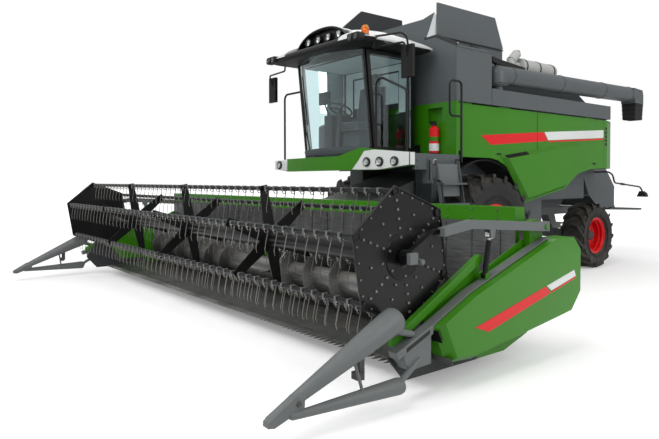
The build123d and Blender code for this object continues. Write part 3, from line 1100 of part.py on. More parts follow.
def reel_carriers():
    """Reel arms on the header, their lift cylinders, and the sliding carriages that hold the reel."""
    x0 = ARM_X - ARM_W / 2
    x1 = ARM_X + ARM_W / 2
    front = ARM_FRONT_Y
    y = ARM_PIVOT_Y
    z = ARM_PIVOT_Z
    outline = [(front, arm_line(front, -35)), (front, arm_line(front, 35)), (ARM_BEND_Y, ARM_BEND_Z + 38)]
    outline += [(y - 60, z + 50), (y + 60, z + 50), (y + 60, z - 45), (ARM_BEND_Y, ARM_BEND_Z - 37)]
    arm = side_plate(outline, x0, x1) - drum(x0 - 1, x1 + 1, y, z, ARM_PIN_R + GAP)
    slot_end = ARM_BEND_Y + 20
    outline = [(front - 1, arm_line(front, -20)), (front - 1, arm_line(front, 20))]
    outline += [(slot_end, arm_line(slot_end, 20)), (slot_end, arm_line(slot_end, -20))]
    slot = side_plate(outline, x0 - 1, x0 + 24)
    eye_y = REEL_LIFT_EYE_Y
    eye_z = REEL_LIFT_EYE_Z
    lug = [(eye_y - 45, eye_z + 70), (eye_y - 25, eye_z - 28), (eye_y + 25, eye_z - 28), (eye_y + 45, eye_z + 70)]
    lugs = [side_plate(lug, x, x + 8) for x in (x0, x1 - 8)]
    put("reel_arms", *both_sides((arm - slot).fuse(drum(x0, x1, eye_y, eye_z, 12), *lugs)))
    base = (REEL_LIFT_BASE_Y, REEL_LIFT_BASE_Z)
    cylinder_pair("reel_lift", ARM_X, 24, 13, base, (eye_y, eye_z), 0.86, 12, 44, 40)
    hub = drum(REEL_X + 8, ARM_X - 20, REEL_Y, REEL_Z, 60) - drum(REEL_X, REEL_X + 25, REEL_Y, REEL_Z, REEL_SHAFT_R + GAP)
    mid = front - 25
    back = ARM_BEND_Y - CARRIAGE_STROKE
    outline = [(REEL_Y - 60, REEL_Z - 45), (REEL_Y - 60, REEL_Z + 20), (mid, arm_line(mid, 17)), (back, arm_line(back, 17))]
    outline += [(back, arm_line(back, -17)), (mid, arm_line(mid, -17)), (REEL_Y + 60, REEL_Z - 40)]
    beam = side_plate(outline, REEL_X + 45, x0 - RUNNING)
    nose = front - 5
    outline = [(nose, arm_line(nose, -19)), (nose, arm_line(nose, 19))]
    outline += [(back, arm_line(back, 19)), (back, arm_line(back, -19))]
    tongue = side_plate(outline, x0 - RUNNING - 1, x0 + 20)
    put("reel_carriages", *both_sides(hub.fuse(beam, tongue)))


wheels()
front_axle()
rear_axle()
chassis()
threshing_body()
engine()
panels()
grain_tank()
unloader()
straw_hood()
cab()
cab_door()
cab_roof()
cab_inside()
front_trim()
ladder()
feederhouse()
lift_cylinders()
header_frame()
cutterbar()
auger()
dividers()
reel()
reel_carriers()
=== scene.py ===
"""Looks of a combine harvester with its grain header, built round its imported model."""

from __future__ import annotations

import logging
from dataclasses import dataclass, field
from enum import Enum
from math import cos, pi, radians, sin
from typing import Iterable, Sequence

import bmesh
import bpy
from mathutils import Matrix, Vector

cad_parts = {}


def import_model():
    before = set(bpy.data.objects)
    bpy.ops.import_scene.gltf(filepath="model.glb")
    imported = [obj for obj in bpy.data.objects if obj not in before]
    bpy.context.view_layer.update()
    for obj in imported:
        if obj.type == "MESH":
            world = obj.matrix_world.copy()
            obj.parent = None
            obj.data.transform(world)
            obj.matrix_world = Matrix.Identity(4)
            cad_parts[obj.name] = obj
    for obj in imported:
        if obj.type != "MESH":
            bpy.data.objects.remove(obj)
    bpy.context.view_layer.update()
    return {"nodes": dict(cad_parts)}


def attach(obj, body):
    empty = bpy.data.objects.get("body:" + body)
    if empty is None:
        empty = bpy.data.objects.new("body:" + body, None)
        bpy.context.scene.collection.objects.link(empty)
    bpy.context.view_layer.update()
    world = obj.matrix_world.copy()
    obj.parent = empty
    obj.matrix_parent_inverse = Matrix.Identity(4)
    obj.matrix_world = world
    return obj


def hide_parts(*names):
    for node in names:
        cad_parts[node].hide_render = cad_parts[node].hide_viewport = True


LOG = logging.getLogger("combine_looks")

Point = tuple[float, float, float]
Flat = tuple[float, float]
Color = tuple[float, float, float]
Outlet = tuple[bpy.types.Node, "str | int"]
Stripes = Sequence[tuple[str, str, Sequence[Flat]]]

PANEL_FACE_X = 1.46
FRONT_WHEEL = (1.37, 0.0, 0.9)
REAR_WHEEL = (1.2, 3.57, 0.625)
HEADER_HALF = 3.8
AUGER_AXIS = (-3.15, 0.47)
REEL_AXIS = (-4.3, 1.104)
REEL_HALF = 3.77
GLASS_IOR = 1.45
STRIPE_LIFT = 0.0025


class Along(Enum):
    """Axis that a flat outline is pulled along."""

    X = 0
    Y = 1
    Z = 2


class Slot(Enum):
    """Material slots of the record."""

    GREEN = "green_paint"
    GREY = "grey_paint"
    DARK = "dark_paint"
    RED = "red_paint"
    PALE = "pale_plastic"
    BLACK_PLASTIC = "dark_plastic"
    TYRE = "tyre_rubber"
    SPOUT = "spout_rubber"
    GLASS = "cab_glass"
    STEEL = "worn_steel"
    CHROME = "rod_chrome"
    IRON = "engine_iron"
    CLOTH = "seat_cloth"


class Socket(Enum):
    """Kinds of socket in a shader group."""

    COLOR = "NodeSocketColor"
    FLOAT = "NodeSocketFloat"
    VECTOR = "NodeSocketVector"


class Group:
    """A shader node group with named inputs and outputs, built once."""

    def __init__(
        self, name: str, inputs: Sequence[tuple[str, Socket, object]], outputs: Sequence[tuple[str, Socket]]
    ) -> None:
        """Makes the empty group.

        Args:
            name: Name of the group.
            inputs: Name, kind and starting value of each input.
            outputs: Name and kind of each output.
        """
        self.tree = bpy.data.node_groups.new(name, "ShaderNodeTree")
        for label, kind, value in inputs:
            socket = self.tree.interface.new_socket(name=label, in_out="INPUT", socket_type=kind.value)
            if value is not None:
                socket.default_value = value
        for label, kind in outputs:
            self.tree.interface.new_socket(name=label, in_out="OUTPUT", socket_type=kind.value)
        self.source = self.tree.nodes.new("NodeGroupInput")
        self.sink = self.tree.nodes.new("NodeGroupOutput")

    def node(self, kind: str, **values: object) -> bpy.types.Node:
        """Adds a node.

        Args:
            kind: Blender's name of the node, without the shader prefix.
            values: Settings of the node; names with a leading "in_" set an input.

        Returns:
            The node.
        """
        return add_node(self.tree, kind, **values)

    def link(self, start: bpy.types.Node, output: str | int, end: bpy.types.Node, entry: str | int) -> None:
        """Links an output of one node to an input of another."""
        self.tree.links.new(start.outputs[output], end.inputs[entry])

    def times(self, first: Outlet, second: Outlet, clamp: bool = False) -> bpy.types.Node:
        """Multiplies two values.

        Args:
            first: Node and output of the first value.
            second: Node and output of the second value.
            clamp: Whether the product stays from 0 to 1.

        Returns:
            The node.
        """
        node = self.node("Math", operation="MULTIPLY", use_clamp=clamp)
        self.link(*first, node, 0)
        self.link(*second, node, 1)
        return node

    def blend(self, share: bpy.types.Node, label: str) -> bpy.types.Node:
        """Mixes the group's own colour with another of its inputs.

        Args:
            share: Node that gives the other colour's share.
            label: Input that holds the other colour.

        Returns:
            The node, its colour at output 2.
        """
        node = self.node("Mix", data_type="RGBA")
        self.link(share, 0, node, 0)
        self.link(self.source, "Color", node, 6)
        self.link(self.source, label, node, 7)
        return node


def add_node(tree: bpy.types.NodeTree, kind: str, **values: object) -> bpy.types.Node:
    """Adds a node to a tree and sets it.

    Args:
        tree: Tree that the node joins.
        kind: Blender's name of the node, without the shader prefix.
        values: Settings of the node; names with a leading "in_" set an input.

    Returns:
        The node.
    """
    node = tree.nodes.new("ShaderNode" + kind)
    for key, value in values.items():
        if key.startswith("in_"):
            label = key[3:]
            node.inputs[int(label) if label.isdigit() else label.replace("_", " ")].default_value = value
        else:
            setattr(node, key, value)
    return node


class Effects:
    """The shader groups that several finishes share."""

    def __init__(self) -> None:
        """Builds every group once."""
        self.drift = self._colour_drift()
        self.dust = self._field_dust()
        self.wear = self._edge_wear()
        self.peel = self._paint_peel()
        self.grain = self._moulded_grain()
        self.brush = self._crop_polish()
        self.weave = self._cloth_weave()
        self.edges = self._soft_edges()

    def _colour_drift(self) -> bpy.types.NodeTree:
        """Slow change of colour and gloss over a panel.

        Returns:
            The group's tree.
        """
        g = Group(
            "colour_drift",
            [
                ("Color", Socket.COLOR, (0.5, 0.5, 0.5, 1)), ("Amount", Socket.FLOAT, 0.1),
                ("Scale", Socket.FLOAT, 1.2), ("Roughness", Socket.FLOAT, 0.4)
            ],
            [("Color", Socket.COLOR), ("Roughness", Socket.FLOAT)]
        )
        place = g.node("TexCoord")
        noise = g.node("TexNoise", in_Detail=5.0, in_Roughness=0.6)
        g.link(place, "Object", noise, "Vector")
        g.link(g.source, "Scale", noise, "Scale")
        centred = g.node("Math", operation="SUBTRACT", in_1=0.5)
        g.link(noise, "Fac", centred, 0)
        share = g.times((centred, 0), (g.source, "Amount"))
        value = g.node("Math", operation="MULTIPLY_ADD", in_1=2.0, in_2=1.0)
        g.link(share, 0, value, 0)
        shade = g.node("HueSaturation")
        g.link(value, 0, shade, "Value")
        g.link(g.source, "Color", shade, "Color")
        rough = g.node("Math", operation="MULTIPLY_ADD", in_1=0.8)
        g.link(share, 0, rough, 0)
        g.link(g.source, "Roughness", rough, 2)
        g.link(shade, "Color", g.sink, "Color")
        g.link(rough, 0, g.sink, "Roughness")
        return g.tree

    def _field_dust(self) -> bpy.types.NodeTree:
        """Dust that lies on upward faces and low on the machine.

        Returns:
            The group's tree.
        """
        g = Group(
            "field_dust",
            [
                ("Color", Socket.COLOR, (0.5, 0.5, 0.5, 1)), ("Roughness", Socket.FLOAT, 0.4),
                ("Dust Color", Socket.COLOR, (0.33, 0.29, 0.22, 1)), ("Amount", Socket.FLOAT, 0.2)
            ],
            [("Color", Socket.COLOR), ("Roughness", Socket.FLOAT)]
        )
        place = g.node("TexCoord")
        facing = g.node("SeparateXYZ")
        g.link(place, "Normal", facing, 0)
        spot = g.node("SeparateXYZ")
        g.link(place, "Object", spot, 0)
        up = g.node("MapRange", in_1=0.2, in_2=1.0, in_3=0.0, in_4=0.7)
        g.link(facing, "Z", up, 0)
        low = g.node("MapRange", in_1=1.6, in_2=0.1, in_3=0.0, in_4=0.6)
        g.link(spot, "Z", low, 0)
        both = g.node("Math", operation="ADD")
        g.link(up, 0, both, 0)
        g.link(low, 0, both, 1)
        noise = g.node("TexNoise", in_Scale=7.0, in_Detail=9.0, in_Roughness=0.72)
        g.link(place, "Object", noise, "Vector")
        patch = g.node("MapRange", in_1=0.35, in_2=0.7)
        g.link(noise, "Fac", patch, 0)
        mask = g.times((both, 0), (patch, 0))
        amount = g.times((mask, 0), (g.source, "Amount"), clamp=True)
        mix = g.blend(amount, "Dust Color")
        rough = g.node("Mix", data_type="FLOAT", in_3=0.9)
        g.link(amount, 0, rough, 0)
        g.link(g.source, "Roughness", rough, 2)
        g.link(mix, 2, g.sink, "Color")
        g.link(rough, 0, g.sink, "Roughness")
        return g.tree

    def _edge_wear(self) -> bpy.types.NodeTree:
        """Paint rubbed thin along edges.

        Returns:
            The group's tree.
        """
        g = Group(
            "edge_wear",
            [
                ("Color", Socket.COLOR, (0.5, 0.5, 0.5, 1)), ("Bare Color", Socket.COLOR, (0.3, 0.3, 0.3, 1)),
                ("Amount", Socket.FLOAT, 0.5), ("Radius", Socket.FLOAT, 0.006)
            ],
            [("Color", Socket.COLOR), ("Mask", Socket.FLOAT)]
        )
        place = g.node("TexCoord")
        surface = g.node("NewGeometry")
        rounded = g.node("Bevel", samples=4)
        g.link(g.source, "Radius", rounded, "Radius")
        dot = g.node("VectorMath", operation="DOT_PRODUCT")
        g.link(rounded, 0, dot, 0)
        g.link(surface, "Normal", dot, 1)
        edge = g.node("MapRange", in_1=0.995, in_2=0.8)
        g.link(dot, "Value", edge, 0)
        noise = g.node("TexNoise", in_Scale=38.0, in_Detail=6.0)
        g.link(place, "Object", noise, "Vector")
        chips = g.node("MapRange", in_1=0.42, in_2=0.62)
        g.link(noise, "Fac", chips, 0)
        mask = g.times((edge, 0), (chips, 0))
        amount = g.times((mask, 0), (g.source, "Amount"), clamp=True)
        mix = g.blend(amount, "Bare Color")
        g.link(mix, 2, g.sink, "Color")
        g.link(amount, 0, g.sink, "Mask")
        return g.tree

    def _paint_peel(self) -> bpy.types.NodeTree:
        """Fine orange peel of sprayed enamel with a slight waviness of the sheet.

        Returns:
            The group's tree.
        """
        g = Group(
            "paint_peel", [("Scale", Socket.FLOAT, 220.0), ("Wave", Socket.FLOAT, 0.4)],
            [("Height", Socket.FLOAT)]
        )
        place = g.node("TexCoord")
        fine = g.node("TexNoise", in_Detail=2.0)
        slow = g.node("TexNoise", in_Scale=2.4, in_Detail=1.0)
        g.link(place, "Object", fine, "Vector")
        g.link(place, "Object", slow, "Vector")
        g.link(g.source, "Scale", fine, "Scale")
        wave = g.times((slow, "Fac"), (g.source, "Wave"))
        total = g.node("Math", operation="MULTIPLY_ADD", in_1=0.05)
        g.link(fine, "Fac", total, 0)
        g.link(wave, 0, total, 2)
        g.link(total, 0, g.sink, "Height")
        return g.tree

    def _moulded_grain(self) -> bpy.types.NodeTree:
        """Leather-like grain of moulded plastic and rubber.

        Returns:
            The group's tree.
        """
        g = Group("moulded_grain", [("Scale", Socket.FLOAT, 300.0)], [("Height", Socket.FLOAT)])
        place = g.node("TexCoord")
        cells = g.node("TexVoronoi", feature="F1")
        g.link(place, "Object", cells, "Vector")
        g.link(g.source, "Scale", cells, "Scale")
        g.link(cells, "Distance", g.sink, "Height")
        return g.tree

    def _crop_polish(self) -> bpy.types.NodeTree:
        """Streaks of steel polished by crop, along X.

        Returns:
            The group's tree.
        """
        g = Group(
            "crop_polish",
            [
                ("Color", Socket.COLOR, (0.4, 0.4, 0.4, 1)),
                ("Dull Color", Socket.COLOR, (0.2, 0.19, 0.17, 1)), ("Scale", Socket.FLOAT, 6.0)
            ],
            [("Color", Socket.COLOR), ("Roughness", Socket.FLOAT), ("Height", Socket.FLOAT)]
        )
        place = g.node("TexCoord")
        stretch = g.node("Mapping", in_Scale=(0.6, 9.0, 9.0))
        g.link(place, "Object", stretch, "Vector")
        lines = g.node("TexNoise", in_Detail=8.0, in_Roughness=0.7)
        g.link(stretch, "Vector", lines, "Vector")
        g.link(g.source, "Scale", lines, "Scale")
        patches = g.node("TexNoise", in_Scale=1.7, in_Detail=6.0)
        g.link(place, "Object", patches, "Vector")
        mask = g.times((lines, "Fac"), (patches, "Fac"))
        spread = g.node("MapRange", in_1=0.15, in_2=0.4)
        g.link(mask, 0, spread, 0)
        mix = g.blend(spread, "Dull Color")
        rough = g.node("MapRange", in_3=0.24, in_4=0.62)
        g.link(spread, 0, rough, 0)
        g.link(mix, 2, g.sink, "Color")
        g.link(rough, 0, g.sink, "Roughness")
        g.link(lines, "Fac", g.sink, "Height")
        return g.tree

    def _cloth_weave(self) -> bpy.types.NodeTree:
        """Woven cloth of the seat.

        Returns:
            The group's tree.
        """
        g = Group("cloth_weave", [("Scale", Socket.FLOAT, 240.0)], [("Height", Socket.FLOAT)])
        place = g.node("TexCoord")
        waves = []
        for direction in ("X", "Z"):
            wave = g.node("TexWave", wave_type="BANDS", bands_direction=direction, in_Distortion=0.4)
            g.link(place, "Object", wave, "Vector")
            g.link(g.source, "Scale", wave, "Scale")
            waves.append(wave)
        total = g.node("Math", operation="ADD")
        g.link(waves[0], "Fac", total, 0)
        g.link(waves[1], "Fac", total, 1)
        g.link(total, 0, g.sink, "Height")
        return g.tree

    def _soft_edges(self) -> bpy.types.NodeTree:
        """Normal of an edge rounded as pressed sheet is.

        Returns:
            The group's tree.
        """
        g = Group("soft_edges", [("Radius", Socket.FLOAT, 0.006)], [("Normal", Socket.VECTOR)])
        rounded = g.node("Bevel", samples=4)
        g.link(g.source, "Radius", rounded, "Radius")
        g.link(rounded, 0, g.sink, "Normal")
        return g.tree


class MaterialSheet:
    """One material being built: its tree, its shader and the groups placed in it."""

    def __init__(self, name: str) -> None:
        """Starts a material with a Principled shader.

        Args:
            name: Name of the material.
        """
        self.material = bpy.data.materials.new(name)
        self.material.use_nodes = True
        self.tree = self.material.node_tree
        self.shader = self.tree.nodes["Principled BSDF"]

    def place(self, group: bpy.types.NodeTree, **values: object) -> bpy.types.Node:
        """Places a shared group with its own values.

        Args:
            group: The shared group.
            values: Values of its inputs, spaces written as underscores.

        Returns:
            The group node.
        """
        node = self.tree.nodes.new("ShaderNodeGroup")
        node.node_tree = group
        for key, value in values.items():
            node.inputs[key.replace("_", " ")].default_value = value
        return node

    def link(self, start: bpy.types.Node, output: str | int, end: bpy.types.Node, entry: str | int) -> None:
        """Links an output of one node to an input of another."""
        self.tree.links.new(start.outputs[output], end.inputs[entry])

    def hand_on(self, start: bpy.types.Node, end: bpy.types.Node) -> None:
        """Hands colour and roughness on from one group to the next."""
        self.link(start, "Color", end, "Color")
        self.link(start, "Roughness", end, "Roughness")

    def dress(self, last: bpy.types.Node) -> None:
        """Feeds colour and roughness of the last group to the shader."""
        self.link(last, "Color", self.shader, "Base Color")
        self.link(last, "Roughness", self.shader, "Roughness")

    def relief(
        self, height: bpy.types.NodeSocket, distance: float, strength: float,
        normal: bpy.types.NodeSocket | None = None
    ) -> None:
        """Feeds a height to the shader's normal.

        Args:
            height: Height that varies over the surface.
            distance: Depth in metres.
            strength: Strength from 0 to 1.
            normal: Normal that the relief stands on.
        """
        bump = add_node(self.tree, "Bump", in_Strength=strength, in_Distance=distance)
        self.tree.links.new(height, bump.inputs["Height"])
        if normal is not None:
            self.tree.links.new(normal, bump.inputs["Normal"])
        self.link(bump, "Normal", self.shader, "Normal")

    def set(self, **values: object) -> None:
        """Sets constant values on the shader's own sockets."""
        for key, value in values.items():
            self.shader.inputs[key.replace("_", " ")].default_value = value


def opaque(color: Color) -> tuple[float, float, float, float]:
    """A colour with full alpha."""
    return (*color, 1.0)


@dataclass(frozen=True)
class Enamel:
    """Sprayed enamel on sheet steel or moulded panels."""

    name: str
    color: Color
    roughness: float = 0.34
    coat: float = 0.35
    wear: float = 0.35
    bare: Color = (0.3, 0.29, 0.27)
    dust: float = 0.25
    drift: float = 0.1
    edge: float = 0.006
    gloss: float = 0.3

    def build(self, effects: Effects) -> bpy.types.Material:
        """Makes the material.

        Args:
            effects: Shared shader groups.

        Returns:
            The material.
        """
        sheet = MaterialSheet(self.name)
        drift = sheet.place(
            effects.drift, Color=opaque(self.color), Amount=self.drift, Scale=1.3, Roughness=self.roughness
        )
        wear = sheet.place(effects.wear, Bare_Color=opaque(self.bare), Amount=self.wear)
        dust = sheet.place(effects.dust, Amount=self.dust)
        peel = sheet.place(effects.peel, Scale=240.0, Wave=0.5)
        soft = sheet.place(effects.edges, Radius=self.edge)
        sheet.link(drift, "Color", wear, "Color")
        sheet.link(wear, "Color", dust, "Color")
        sheet.link(drift, "Roughness", dust, "Roughness")
        sheet.dress(dust)
        sheet.relief(peel.outputs["Height"], 0.004, 0.25, soft.outputs["Normal"])
        sheet.set(Coat_Weight=self.coat, Coat_Roughness=0.08, Specular_IOR_Level=self.gloss)
        return sheet.material


@dataclass(frozen=True)
class Moulded:
    """Moulded plastic or rubber with a fine grain."""

    name: str
    color: Color
    roughness: float = 0.55
    grain: float = 260.0
    depth: float = 0.0006
    dust: float = 0.3
    edge: float = 0.004
    gloss: float = 0.35

    def build(self, effects: Effects) -> bpy.types.Material:
        """Makes the material.

        Args:
            effects: Shared shader groups.

        Returns:
            The material.
        """
        sheet = MaterialSheet(self.name)
        drift = sheet.place(
            effects.drift, Color=opaque(self.color), Amount=0.14, Scale=2.6, Roughness=self.roughness
        )
        dust = sheet.place(effects.dust, Amount=self.dust)
        grain = sheet.place(effects.grain, Scale=self.grain)
        soft = sheet.place(effects.edges, Radius=self.edge)
        sheet.hand_on(drift, dust)
        sheet.dress(dust)
        sheet.relief(grain.outputs["Height"], self.depth, 0.5, soft.outputs["Normal"])
        sheet.set(Specular_IOR_Level=self.gloss)
        return sheet.material


@dataclass(frozen=True)
class CropSteel:
    """Bare steel rubbed bright by crop, dull between the streaks."""

    name: str
    color: Color
    dull: Color
    scale: float = 6.0
    metallic: float = 0.9

    def build(self, effects: Effects) -> bpy.types.Material:
        """Makes the material.

        Args:
            effects: Shared shader groups.

        Returns:
            The material.
        """
        sheet = MaterialSheet(self.name)
        brush = sheet.place(
            effects.brush, Color=opaque(self.color), Dull_Color=opaque(self.dull), Scale=self.scale
        )
        dust = sheet.place(effects.dust, Amount=0.25)
        sheet.hand_on(brush, dust)
        sheet.dress(dust)
        sheet.relief(brush.outputs["Height"], 0.0008, 0.4)
        sheet.set(Metallic=self.metallic)
        return sheet.material


@dataclass(frozen=True)
class Cloth:
    """Woven seat cloth."""

    name: str
    color: Color

    def build(self, effects: Effects) -> bpy.types.Material:
        """Makes the material.

        Args:
            effects: Shared shader groups.

        Returns:
            The material.
        """
        sheet = MaterialSheet(self.name)
        drift = sheet.place(effects.drift, Color=opaque(self.color), Amount=0.2, Scale=14.0, Roughness=0.9)
        weave = sheet.place(effects.weave, Scale=240.0)
        sheet.dress(drift)
        sheet.relief(weave.outputs["Height"], 0.0008, 0.6)
        sheet.set(Sheen_Weight=0.3)
        return sheet.material


@dataclass(frozen=True)
class Clear:
    """Glass or a clear lens, with a faint film of dust in its gloss."""

    name: str
    color: Color
    roughness: float = 0.02
    lets_light: float = 0.0

    def build(self, effects: Effects) -> bpy.types.Material:
        """Makes the material.

        Args:
            effects: Shared shader groups.

        Returns:
            The material.
        """
        sheet = MaterialSheet(self.name)
        film = sheet.place(
            effects.drift, Color=opaque(self.color), Amount=0.04, Scale=2.0, Roughness=self.roughness
        )
        sheet.dress(film)
        sheet.set(Transmission_Weight=1.0, IOR=GLASS_IOR, Metallic=0.0, Alpha=1.0)
        if self.lets_light:
            path = add_node(sheet.tree, "LightPath")
            veil = add_node(sheet.tree, "MapRange", in_3=1.0, in_4=1.0 - self.lets_light)
            sheet.link(path, "Is Shadow Ray", veil, 0)
            sheet.link(veil, 0, sheet.shader, "Alpha")
        return sheet.material


@dataclass(frozen=True)
class Polished:
    """Hard chrome and lamp reflectors."""

    name: str
    color: Color
    roughness: float = 0.08

    def build(self, effects: Effects) -> bpy.types.Material:
        """Makes the material.

        Args:
            effects: Shared shader groups.

        Returns:
            The material.
        """
        sheet = MaterialSheet(self.name)
        drift = sheet.place(
            effects.drift, Color=opaque(self.color), Amount=0.05, Scale=18.0, Roughness=self.roughness
        )
        sheet.dress(drift)
        sheet.set(Metallic=1.0)
        return sheet.material


FINISHES = {
    "green": Enamel(
        "gloss_green_enamel", (0.036, 0.198, 0.002), roughness=0.3, coat=0.12, wear=0.12,
        bare=(0.12, 0.3, 0.06), dust=0.03, drift=0.1, gloss=0.25
    ),
    "grey": Enamel(
        "satin_grey_enamel", (0.086, 0.098, 0.103), roughness=0.42, coat=0.06, wear=0.2,
        bare=(0.26, 0.27, 0.27), dust=0.06
    ),
    # Dark grey that paints shade, with real wear and dust on top; used on the far tank lid, the flange under
    # the near lid and the header end shoes.
    "shade_grey": Enamel(
        "painted_shade_grey", (0.03, 0.034, 0.037), roughness=0.55, coat=0.0, wear=0.3, bare=(0.16, 0.17, 0.17),
        dust=0.08
    ),
    "header_grey": Enamel(
        "header_grey_enamel", (0.125, 0.138, 0.14), roughness=0.45, coat=0.06, wear=0.4,
        bare=(0.32, 0.32, 0.31), dust=0.1
    ),
    "black": Enamel(
        "satin_black_enamel", (0.0045, 0.0045, 0.005), roughness=0.32, coat=0.1, wear=0.25,
        bare=(0.07, 0.07, 0.066), dust=0.03, gloss=0.28
    ),
    "red": Enamel(
        "gloss_red_enamel", (0.7, 0.006, 0.01), roughness=0.3, coat=0.12, wear=0.15, bare=(0.4, 0.1, 0.1),
        dust=0.03, gloss=0.25
    ),
    "white": Enamel(
        "gloss_white_enamel", (0.7, 0.72, 0.71), roughness=0.32, coat=0.3, wear=0.12, bare=(0.5, 0.5, 0.48),
        dust=0.1
    ),
    "iron": Enamel("cast_iron_enamel", (0.05, 0.05, 0.05), roughness=0.6, coat=0.0, wear=0.6, dust=0.25),
    "dark_plastic": Moulded("black_moulding", (0.009, 0.009, 0.01), dust=0.1),
    "visor_black": Moulded(
        "gloss_black_moulding", (0.005, 0.005, 0.0055), roughness=0.22, grain=420.0, depth=0.0001, dust=0.04,
        edge=0.008
    ),
    "cab_grey": Moulded("cab_trim_grey", (0.06, 0.072, 0.08), roughness=0.6, dust=0.05),
    "cab_pale": Moulded(
        "cab_lining_pale", (0.52, 0.55, 0.56), roughness=0.7, grain=300.0, depth=0.0004, dust=0.04
    ),
    "roof_white": Moulded(
        "roof_moulding", (0.62, 0.635, 0.63), roughness=0.36, grain=420.0, depth=0.0002, dust=0.08, edge=0.012
    ),
    "cleaner": Moulded("pale_moulding", (0.46, 0.47, 0.455), roughness=0.5, dust=0.1),
    "tyre": Moulded(
        "farm_tyre_rubber", (0.016, 0.016, 0.0165), roughness=0.72, grain=120.0, depth=0.0015, dust=0.32,
        edge=0.008
    ),
    "spout": Moulded(
        "spout_rubber_skin", (0.014, 0.014, 0.015), roughness=0.6, grain=180.0, depth=0.001, dust=0.12
    ),
    "steel": CropSteel("crop_polished_steel", (0.36, 0.36, 0.35), (0.1, 0.1, 0.1)),
    "pan_steel": CropSteel("dark_pan_steel", (0.21, 0.215, 0.22), (0.075, 0.077, 0.08)),
    "knife": CropSteel("knife_steel", (0.3, 0.3, 0.3), (0.09, 0.09, 0.09), scale=14.0),
    "tine": CropSteel(
        "tine_spring_steel", (0.26, 0.25, 0.23), (0.11, 0.105, 0.095), scale=20.0, metallic=0.5
    ),
    "chrome": Polished("hard_chrome", (0.78, 0.79, 0.8)),
    "reflector": Polished("lamp_reflector", (0.42, 0.43, 0.44), 0.25),
    "glass": Clear("tinted_cab_glass", (0.82, 0.95, 0.96), lets_light=0.85),
    "lens": Clear("clear_lens", (0.95, 0.96, 0.96), roughness=0.06),
    "amber": Clear("amber_lens", (0.9, 0.3, 0.01), roughness=0.16),
    "red_lens": Clear("red_lens", (0.75, 0.012, 0.012), roughness=0.12),
    "cloth": Cloth("seat_weave", (0.03, 0.032, 0.036)),
}


class Paints:
    """Materials by short name, each built at its first use."""

    def __init__(self) -> None:
        """Prepares the shared effects."""
        self.effects = Effects()
        self.made: dict[str, bpy.types.Material] = {}

    def get(self, key: str) -> bpy.types.Material:
        """The material of a finish.

        Args:
            key: Name in the table of finishes.

        Returns:
            The material, built once.
        """
        if key not in self.made:
            self.made[key] = FINISHES[key].build(self.effects)
        return self.made[key]


